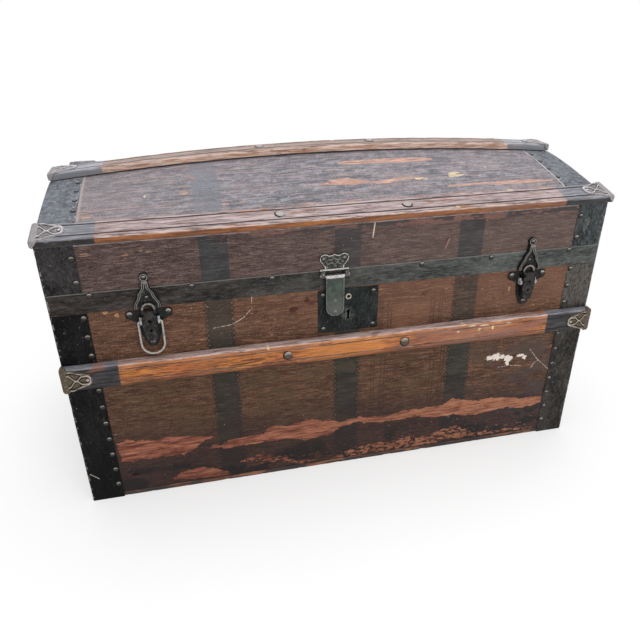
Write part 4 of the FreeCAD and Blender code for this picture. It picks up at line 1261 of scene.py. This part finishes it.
def clamp(mesh, size, lay, sign, fanned):
    """One clamp, from its rounded outer end to its nose, its skirts cut off on a slant."""
    half, thickness = size[0] / 2, size[1]

    def levels(s):
        """Foot and face: the skirts rise from the wall to the slat's face."""
        skirt = line_through([(2, OVER_SHEET), (13, thickness - 0.3)], s)
        rounding = 3.0 * (1 - math.sqrt(max(0.0, 1 - (1 - min(s, 4) / 4) ** 2)))
        return skirt, thickness + CLAMP_WALL - 0.5 - rounding

    stations = [0, 0.3, 0.9, 1.8, 3, 4, 5.5, 7, CUFF, CUFF + 1.4] + spaced(CUFF + 2, NOSE_END, 54)
    casting(
        mesh, lambda s, t, h: lay(sign * (CLAMP_TIP - s), t, h), stations,
        lambda s: (-clamp_half(s, half), clamp_half(s, half)), levels,
        lambda s, t: ornament(s, t, half, fanned), 1.6, 60,
    )


def head(mesh, foot, axis, radius, height, seed):
    """A hammered rivet head standing on a foot point, a little out of true, on a dark skirt painted as its
    shadow.
    """
    axis = Vector(axis).normalized()
    lean = Vector((wobble((seed, 1, 5), 1.7), wobble((seed, 9, 2), 1.7), wobble((seed, 4, 8), 1.7)))
    axis = (axis + lean * 0.05).normalized()
    across = axis.orthogonal().normalized()
    other = axis.cross(across)
    # The first two rings are a flat skirt whose relief of -1 paints the head's shadow.
    profile = [(1.22, -0.3, -1), (1.2, 0.12, -1), (1.0, 0.2, -0.6)]
    for a in spaced(0.3, 1.48, 4):
        profile.append((math.cos(a), 0.2 + (height - 0.2) * math.sin(a) ** 0.9, math.sin(a)))
    rows = []
    for out, up, shown in profile:
        ring = []
        for turn in range(16):
            bearing = turn * math.tau / 16
            reach = radius * out * (1 + 0.05 * wobble((seed * 3, turn * 0.6, 1), 2))
            spot = Vector(foot) + across * reach * math.cos(bearing) + other * reach * math.sin(bearing)
            ring.append((*(spot + axis * up), shown))
        rows.append(ring)
    bar(mesh, rows)


def cast_iron(name, hollow_dirt_and_shade, face, crest, rust, low, gleam=0.15):
    """Old painted casting: hollows painted dark, as dirt and painted shade; raised lines painted bright, as
    rubbed wear and a painted highlight.
    """
    material, place = start(name)
    raised = relief_of(place)
    grit = speckle(place, 2.2, EVEN, 4, 0.7)
    # Low places are painted dark: dirt with painted shade.
    colour = coats(mix(step(raised + (grit - 0.5) * 0.3, low, low + 0.35), hollow_dirt_and_shade, face), [
        (step(grit, 0.55, 0.66) * 0.45, crest),
        (step(grit, 0.45, 0.36) * 0.5, hollow_dirt_and_shade),
        # Raised lines are painted bright: rubbed wear with a painted highlight.
        (step(raised + (grit - 0.5) * 0.6, 0.45, 0.95), crest),
        (flecks(place, 5, EVEN, 0.34, 0.04, 4) * 0.45, rust),
    ])
    return finish(material, colour, 0.40 + grit * 0.3, grit, 0.3, shine=gleam)


clamp_iron = {
    "body": cast_iron("body clamp iron", "#19130e", "#544a3d", "#a89d91", "#3f3022", -0.35),
    "lid": cast_iron("lid clamp iron", "#262325", "#8f8b8d", "#c4bfc0", "#75696a", -0.3),
}
for group, body in (("body", "trunk_body"), ("lid", "lid")):
    mesh = fresh_mesh()
    for seed, (place_name, (size, lay)) in enumerate(SLATS.items()):
        if place_name.startswith(group):
            for sign in (-1, 1):
                clamp(mesh, size, lay, sign, group == "lid")
                spot = sign * (CLAMP_TIP - CLAMP_RIVET_S)
                foot = lay(spot, 0, size[1] + CLAMP_WALL - 0.5)
                head(mesh, foot, lay(spot, 0, size[1] + 9) - foot, 3.1, 1.7, seed * 2 + sign)
    iron = clamp_iron[group]
    piece(f"{group}_slat_ends", mesh, body, iron, f"{group}_slat_clamps", crease=50)

# ---------------------------------------------------------------- rivets
# Soft iron rivets and nails with hammered round heads: small ones along every binding, and
# large buttons through the slats. The heads carry a painted highlight on their upper side and stand in dark
# rings of painted shadow.


def solids(node):
    """The separate solids of a CAD node, each as its corner points in millimetres."""
    mesh = bmesh.new()
    mesh.from_mesh(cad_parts[node].data)
    bmesh.ops.remove_doubles(mesh, verts=mesh.verts, dist=1e-7)
    seen, groups = set(), []
    for first in mesh.verts:
        if first in seen:
            continue
        seen.add(first)
        group = [first]
        for corner in group:
            joined = [edge.other_vert(corner) for edge in corner.link_edges]
            fresh = [other for other in joined if other not in seen]
            seen.update(fresh)
            group += fresh
        groups.append(np.array([corner.co / MM for corner in group]))
    mesh.free()
    return groups


def rivet_spots(node):
    """The foot, outward axis, radius and height of every rivet head in a CAD node."""
    spots = []
    for points in solids(node):
        middle = (points.min(0) + points.max(0)) / 2
        spread = points - points.mean(0)
        axis = np.linalg.eigh(spread.T @ spread)[1][:, 0]
        axis = axis * np.sign(axis @ (middle - np.array((0, 0, 200))))
        heights = (points - middle) @ axis
        flat = (points - middle) - np.outer(heights, axis)
        foot = middle + axis * heights.min()
        spots.append((foot, axis, np.linalg.norm(flat, axis=1).max(), np.ptp(heights)))
    return spots


def rivet_iron(name, dark, bright, dome_highlight_cut=0.0):
    """Rivet metal: a painted shadow as dark skirts, a painted highlight on the crown's upper side that is
    weaker on the dome, some rust.
    """
    material, place = start(name)
    z = axes(place)[2]
    raised = relief_of(place)
    grit = speckle(place, 1.6, EVEN, 3, 0.7)
    # rubbed: a painted highlight on the upward side of each crown, weaker on the lid's top
    lit = facing_up(place) + (grit - 0.5) * 0.7
    rubbed = step(lit, 0.0, 0.45) * step(raised, 0.15, 0.5) * (1 - step(z, 452, 456) * dome_highlight_cut)
    # the skirt round each head is painted near black, a painted shadow
    colour = coats(mix(step(raised, -0.5, 0.3), "#0a0909", dark), [
        (rubbed, bright),
        (flecks(place, 3, EVEN, 0.3, 0.05) * 0.5, "#4b382c"),
    ])
    return finish(material, colour, 0.34 + grit * 0.25, grit, 0.15, metal=0.1, shine=0.25)


small_rivet = rivet_iron("rivet iron", "#2d2b2a", "#9b9791", dome_highlight_cut=0.7)
latch_rivet = rivet_iron("latch rivet iron", "#2a2827", "#a09b95")
button = rivet_iron("slat button iron", "#4d443b", "#a0958a")
# The lid's slat buttons are a paler, greyer copy, painted as lit by the sky.
lid_button = rivet_iron("lid slat button iron", "#5f5957", "#9f9896")
for node, body, slot, material, growth in (
    ("body_rivets", "trunk_body", "rivet_iron", small_rivet, 1.2),
    ("lid_rivets", "lid", "rivet_iron", small_rivet, 1.25),
    ("body_slat_rivets", "trunk_body", "button_iron", button, 1.16),
    ("lid_slat_rivets", "lid", "button_iron", lid_button, 1.16),
    ("handle_rivets", "trunk_body", "rivet_iron", small_rivet, 1.0),
    ("lock_rivets", "trunk_body", "lock_iron", small_rivet, 1.1),
    ("latch_base_rivets", "trunk_body", "latch_metal", latch_rivet, 1.1),
    ("latch_catch_rivets", "lid", "latch_metal", latch_rivet, 1.0),
):
    mesh = fresh_mesh()
    for seed, (foot, axis, radius, height) in enumerate(rivet_spots(node)):
        wide = radius * (0.95 if node == "lid_rivets" and foot[2] > 452 else growth)
        head(mesh, foot, axis, wide, height * 0.96, seed + 0.37)
    piece(f"{node}_heads", mesh, body, material, node)

# ---------------------------------------------------------------- hinges and stays
# Butt hinges of plain steel screwed across the parting line at the back, and slotted steel
# arms inside, on studs, that stop the lid past upright.


def plain_steel(name, dark, light, rust):
    """Bare steel gone brown and dull."""
    material, place = start(name)
    cloud = step(speckle(place, 16, EVEN, 4), 0.36, 0.64)
    colour = coats(mix(cloud, dark, light), [(flecks(place, 7, EVEN, rust, 0.04, 5) * 0.8, "#6a4630")])
    drawn = speckle(place, 1.0, (1, 1, 18), 3)
    return finish(material, colour, 0.38 + cloud * 0.2, drawn, 0.12, metal=0.7)


hinge_steel = plain_steel("hinge steel", "#3e3b38", "#5f5b56", 0.45)
stay_steel = plain_steel("stay steel", "#5b5854", "#7d7974", 0.35)
dress(hinge_steel, "hinge_body_leaves", "hinge_lid_leaves", "hinge_pins", bevel=0.25)
dress(stay_steel, "left_stay_arm", "right_stay_arm", "stay_lid_pins", "stay_body_studs", bevel=0.2)

# ---------------------------------------------------------------- lock
# A flat iron plate over the lock, nailed at its corners, pierced for the hasp's peg, which has
# a brass ring, and for the key. A steel case behind the board holds the bolt.

# Left and right pairs of shades: the paler right is painted light.
lock_shades = ("#0c0d0e", "#262929"), ("#141716", "#343a39")
lock_iron = japanned_iron("lock plate iron", *lock_shades, "#5a5f5d", wear=0.26, gloss=0.34, keyed=True)
dress(lock_iron, "lock_plate", bevel=0.35)
dress(plain_steel("lock case steel", "#121110", "#242120", 0.2), "lock_case", bevel=0.3)
dress(plain_steel("lock bolt steel", "#6d6a66", "#8e8a85", 0.2), "lock_bolt", bevel=0.4)


def brass():
    """Rubbed brass of the eyelet."""
    material, place = start("eyelet brass")
    cloud = speckle(place, 3, EVEN, 3)
    colour = mix(step(cloud, 0.4, 0.6), "#7f7a6f", "#b3aea2")
    return finish(material, colour, 0.3 + cloud * 0.2, cloud, 0.1, metal=0.6)


dress(brass(), "lock_eyelet", bevel=0.3)

# ---------------------------------------------------------------- hasp
# A stamped hinge plate with a raised rim on the lid, and a plain tongue that hangs from its
# pin over the lock plate. The roll round the pin and the plate's rim are painted bright, rubbed wear with a
# painted highlight, and painted shadow darkens the gap between the roll and the bar.

PLATE_HALF, WAIST_HALF = 22.7, 14.8
PLATE_FACE = 2.4
PIN_Z = 371
PIN_EAR = ((15.7, 2.9), (16.1, 3.4), (18.5, 3.4), (20.9, 3.4), (21.4, 2.9))  # off the middle, radius


def hasp_plate():
    """The plate with its wavy rim, scrolls and two bosses, and the bar with the pin's ears."""
    mesh = fresh_mesh()
    middle = middle_of("hasp_plate")
    crown = [
        (0, 404.6), (3.8, 403.0), (8.5, 402.6), (12.5, 404.8), (16.5, 405.0), (20.0, 403.2),
        (PLATE_HALF, 397.8),
    ]
    waist = [(WAIST_HALF, 376.8), (15.8, 385.0), (18.5, 388.6), (21.2, 392.0), (PLATE_HALF, 396.6)]

    def limits(s):
        """Bottom and top of the plate at a distance from its middle."""
        return line_through(waist, abs(s)), line_through(crown, abs(s))

    def relief(s, t):
        """Rim, bosses and scrolls."""
        low, high = limits(s)
        edge = min(t - low, high - t, (PLATE_HALF + 0.2 - abs(s)) * 1.2)
        if t < 388:
            edge = min(edge, 15.4 - abs(s) + max(0.0, t - 384) * 0.8)
        rim = bell(edge - 1.3, 1.35) * 1.2
        boss = bell(math.hypot(abs(s) - 16.4, t - 397.6), 3.3) * 0.75
        scroll = bell(t - 395.5 - 1.3 * math.cos(s * 0.55), 1.0) * 0.75 if abs(s) < 9.5 else 0.0
        lower = bell(t - 388.6 + 1.2 * math.cos(s * 0.7), 0.9) * 0.75 if abs(s) < 10.5 else 0.0
        knob = bell(math.hypot(s, t - 384.2), 2.3) * 0.5
        leg = bell(abs(s) - 11.2 - 0.8 * math.sin(t), 0.8) * 0.7 if 381 < t < 394 else 0.0
        return max(rim, boss, scroll, lower, knob, leg, 0.12)

    wing = spaced(WAIST_HALF, 15.6, 3) + spaced(15.8, PLATE_HALF, 14)
    stations = [-s for s in wing[::-1]] + spaced(-14.2, 14.2, 56) + wing

    def lay(s, t, h):
        """The plate stands on the lid's front board, over the band below."""
        return (middle + s, -SIDE - h, t)

    def levels(s):
        """Clear of the band under the waist."""
        return (OVER_SHEET if abs(s) < 15 else 0.05), PLATE_FACE

    casting(mesh, lay, stations, limits, levels, relief, 0.5, 54)
    # The bar's upper part is painted bright, a painted highlight; its lower part keeps the face colour.
    rows = []
    for s in spaced(-22.3, 22.3, 40):
        swell = 0.25 * wobble((s, 3, 1), 6)
        rounded = rounded_ring((376.6, SHEET + 0.15), (380.2 + swell * 0.5, 4.6 + swell), 1.0)
        rows.append([(middle + s, -SIDE - b, a, 1.1 if a > 379 else 0.1) for a, b in rounded])
    bar(mesh, rows)
    for sign in (-1, 1):
        rows = []
        for s, size in PIN_EAR:
            rows.append([])
            for turn in spaced(0, math.tau, 20)[:-1]:
                a, b = PIN_Z + size * math.cos(turn), 5.8 + size * math.sin(turn)
                if math.cos(turn) > 0.2:
                    a = max(a, 377.5)
                rows[-1].append((middle + sign * s, -SIDE - max(b, 2.0), a, 0.5))
        bar(mesh, rows)
    return mesh


hasp_metal = cast_iron("hasp metal", "#171817", "#454542", "#bcb8b1", "#3b352e", 0.05, 0.3)
piece("hasp_hinge_plate", hasp_plate(), "lid", hasp_metal, "hasp_plate", crease=50)


def bright_iron(name, code, dull):
    """Iron rubbed bright by use."""
    material, place = start(name)
    scuff = speckle(place, 3, EVEN, 4, 0.7)
    colour = mix(step(scuff, 0.38, 0.62), dull, code)
    return finish(material, colour, 0.32 + scuff * 0.3, scuff, 0.2, metal=0.5)


def tongue():
    """Grey-green tongue: a bright roll and edges, scratches near the tip, and painted shadow on top of the
    roll.
    """
    material, place = start("hasp tongue metal")
    x, _, z = axes(place)
    foot, half = span("hasp_tongue")[0].z, 14.2
    cloud = step(speckle(place, 12, EVEN, 5, 0.65), 0.38, 0.62)
    scuff = speckle(place, 2.6, (1, 1, 1.6), 4, 0.7)
    down = foot + half - z
    off = apart(x - middle_of("hasp_tongue"), down.maths("MAXIMUM", down, 0))
    roll = coats(mix(step(scuff, 0.35, 0.6), "#8b8780", "#cdc9c3"), [
        # painted shadow: the top of the roll, in the gap under the plate's bar, is painted near black
        (step(z, PIN_Z + 0.6, PIN_Z + 1.4), "#151514"),
    ])
    colour = coats(mix(cloud, "#2f3732", "#424c45"), [
        (step(z, 340, 315) * 0.45, "#5b5b55"),
        (step(scuff, 0.56, 0.68) * 0.5, "#6e736c"),
        (step(off, half - 1.4, half - 0.6) * step(scuff, 0.40, 0.55) * 0.5, "#84867f"),
        (near(off, half - 2.9, 0.5) * 0.4, "#1d201e"),
        (step(z, PIN_Z - 4.5, PIN_Z - 3.4), roll),
    ])
    return finish(material, colour, 0.4 + scuff * 0.2, scuff, 0.25, metal=0.1, shine=0.35)


# The bevelled edges of the latch castings: bright worn iron that also serves as a painted highlight.
edge_wear_and_glint = bright_iron("edge wear and glint iron", "#aaa6a0", "#504d49")
dress(bright_iron("hasp pin iron", "#a19d96", "#6b6863"), "hasp_pin", bevel=0.5)
dress(tongue(), "hasp_tongue", bevel=0.35)
dress(bright_iron("hasp staple iron", "#8d8a84", "#4c4a46"), "hasp_staple", bevel=0.3)

# ---------------------------------------------------------------- draw latches
# Black castings: a teardrop catch on the lid, an eared base on the body, a pierced lever and
# a wire loop. The right-hand loop is lost.

ARCH_Z = 345.6
CATCH_FOOT, CATCH_LEDGE = 347.5, 389.5
EYE_Z, EYE_RADIUS = 395, 6.2


def latch_metal(name, dark, light, edge, middle=None):
    """Black casting, with painted highlights on the base's arch and lugs, where hands and the loop also rub
    it.
    """
    material, place = start(name)
    x, y, z = axes(place)
    cloud = step(speckle(place, 7, EVEN, 5, 0.7), 0.38, 0.62)
    grit = speckle(place, 2.2, EVEN, 4, 0.7)
    layers = [(step(grit, 0.57, 0.70) * 0.6, edge)]
    if middle is not None:
        aside = abs(x - middle)
        out = step(y, -SIDE - 3.0, -SIDE - 3.6)
        off = apart(aside, z - ARCH_Z)
        # painted highlights on the arch over the lever and on the lugs
        arch = near(off, 8.6, 1.3) * step(z, 343, 346)
        lugs = near(aside, 12.4, 2.6) * near(z, 328, 5.4)
        lugs = lugs * step(y, -SIDE - 1.8, -SIDE - 2.2) * step(grit, 0.30, 0.46)
        layers += [(arch * out * step(grit, 0.34, 0.5), "#85817b"), (lugs, "#a3a6a9")]
    colour = coats(mix(cloud, dark, light), layers)
    return finish(material, colour, 0.34 + grit * 0.3, grit, 0.3, shine=0.18)


def latch_catch(middle):
    """Teardrop catch: two flanks with ridged edges meet at a ledge under the riveted eye."""
    mesh = fresh_mesh()

    def half(s):
        """Half width at a height."""
        eye = math.sqrt(max(0.0, EYE_RADIUS**2 - (s - EYE_Z) ** 2))
        if s > CATCH_LEDGE:
            return max(eye, 0.4)
        flank = [(CATCH_FOOT, 19.5), (352, 19.3), (368, 12.4), (381, 5.6), (CATCH_LEDGE, 5.0)]
        return max(line_through(flank, s), eye)

    def relief(s, t):
        """Ridges along both flanks, the recess between them, the ledge."""
        if s > 390:
            return bell(math.hypot(s - EYE_Z, t) - 4.9, 1.2)
        # the ledge stands out and takes the bright colour of raised lines: a painted highlight
        if s > 386.5:
            return 0.85
        edge = half(s) - abs(t)
        if edge > 5.2:
            return -3.5
        return max(bell(edge - 1.1, 1.4), bell(edge - 4.1, 1.2) * 0.9, 0.2)

    def levels(s):
        """Clear of the lid band below its top edge."""
        return (OVER_SHEET if s < 378.4 else 0.05), (6.3 if s < 390 else 4.4)

    def lay(s, t, h):
        """The catch stands on the lid's front board."""
        return (middle + t, -SIDE - h, s)

    stations = spaced(CATCH_FOOT, CATCH_LEDGE, 60) + spaced(390, 401.1, 18)
    casting(mesh, lay, stations, lambda s: (-half(s), half(s)), levels, relief, 0.7, 72)
    return mesh


lever_iron = latch_metal("latch lever casting", "#141211", "#322e2c", "#77736e")
catch_metal = cast_iron("latch catch metal", "#080808", "#1d1d1d", "#7f7c78", "#1f1b18", 0.0, 0.25)
for side in ("left", "right"):
    catch = f"{side}_latch_catch"
    middle = middle_of(catch)
    piece(f"{side}_latch_keeper", latch_catch(middle), "lid", catch_metal, catch)
    base_iron = latch_metal(f"{side} latch base casting", "#070707", "#1d1d1d", "#55534f", middle)
    dress(base_iron, f"{side}_latch_base", bevel=0.8, worn=edge_wear_and_glint)
dress(lever_iron, "left_latch_lever", "right_latch_lever", bevel=0.8, worn=edge_wear_and_glint)
dress(bright_iron("loop wire", "#b9b4ae", "#7f7a74"), "left_latch_loop")

# ---------------------------------------------------------------- end handles
# Arched harness leather straps in iron caps, one on each end board.


def harness_leather():
    """Dry, cracked dark leather."""
    material, place = start("handle leather")
    cloud = step(speckle(place, 22, EVEN, 4), 0.36, 0.64)
    crack = step(speckle(place, 3.2, (1, 0.4, 1), 5, 0.7, 1.2), 0.47, 0.40)
    colour = coats(mix(cloud, "#3a2820", "#5a4030"), [
        (crack * 0.7, "#241914"),
        (flecks(place, 7, EVEN, 0.3, 0.04, 4) * 0.6, "#8a6a50"),
    ])
    return finish(material, colour, 0.6 + cloud * 0.15, 1 - crack, 0.4)


# Left and right pairs of shades: the paler right is painted light.
cap_shades = ("#161515", "#2c2a29"), ("#232221", "#383634")
cap_iron = japanned_iron("handle cap iron", *cap_shades, "#57534e", wear=0.34)
dress(harness_leather(), "left_handle_strap", "right_handle_strap", bevel=0.8)
dress(cap_iron, "handle_caps", bevel=0.8)

# ---------------------------------------------------------------- floor, light and camera
# A plain white studio floor, a broad overhead lamp like an overcast sky, a weaker front lamp,
# and a camera a little left of the middle, looking down on the trunk.

WHITE = (1.0, 1.0, 1.0, 1.0)


def seen_rays(host):
    """1 where the camera, a mirror or glass looks, 0 for the light that falls on things."""
    kinds = ("Camera", "Glossy", "Transmission")
    return either(*(host.node("LightPath", output=f"Is {kind} Ray") for kind in kinds))


def floor():
    """A large plain floor just under the trunk, plain white away from its shadow."""
    mesh = bmesh.new()
    half, drop = 9000, -0.4
    skin(mesh, [[(x, y, drop) for x in (-half, half)] for y in (-half, half)])
    material, place = start("studio floor")
    x, y, _ = axes(place)
    mottle = speckle(place, 400, EVEN, 3)
    colour = mix(mottle, "#f7f7f7", "#fcfcfc")
    away = step(apart(x, y), 420, 820) * 0.45 + 0.55
    lit = place.node("BsdfDiffuse", {}, {"Color": colour})
    white = place.node("Emission", {}, {"Color": WHITE, "Strength": 1.0})
    surface = place.node("MixShader", {}, {0: away * seen_rays(place), 1: lit, 2: white})
    place.node("OutputMaterial", {}, {"Surface": surface})
    painted_mesh("studio_floor", mesh, material)


floor()

world = bpy.data.worlds.new("studio")
bpy.context.scene.world = world
world.use_nodes = True
world.node_tree.nodes.clear()
sky = Shade(world.node_tree)
ambient, backdrop = (sky.node("Background", {}, {"Color": WHITE, "Strength": share}) for share in (0.55, 1))
surround = sky.node("MixShader", {}, {0: seen_rays(sky), 1: ambient, 2: backdrop})
sky.node("OutputWorld", {}, {"Surface": surround})


def lamp(name, spot, target, size, power, colour):
    """A square soft lamp."""
    data = bpy.data.lights.new(name, "AREA")
    data.size = size
    data.energy = power
    data.color = colour
    made = put(name, data)
    made.location = spot
    made.rotation_euler = (Vector(target) - Vector(spot)).to_track_quat("-Z", "Y").to_euler()


lamp("overhead", (0.1, 0.2, 3.0), (0, 0, 0.3), 2.6, 62, (0.98, 0.985, 1.0))
lamp("front", (1.1, -3.0, 1.5), (0, 0, 0.25), 1.8, 40, (1.0, 0.99, 0.97))

camera = bpy.data.cameras.new("camera")
camera.lens = 34.24
camera.sensor_width = 36
viewer = put("camera", camera)
viewer.location = (-0.2224, -1.0451, 0.7381)
viewer.rotation_euler = [math.radians(turn) for turn in (62.3672, 0.4815, -12.5627)]
bpy.context.scene.camera = viewer
bpy.context.scene.view_settings.view_transform = "Standard"
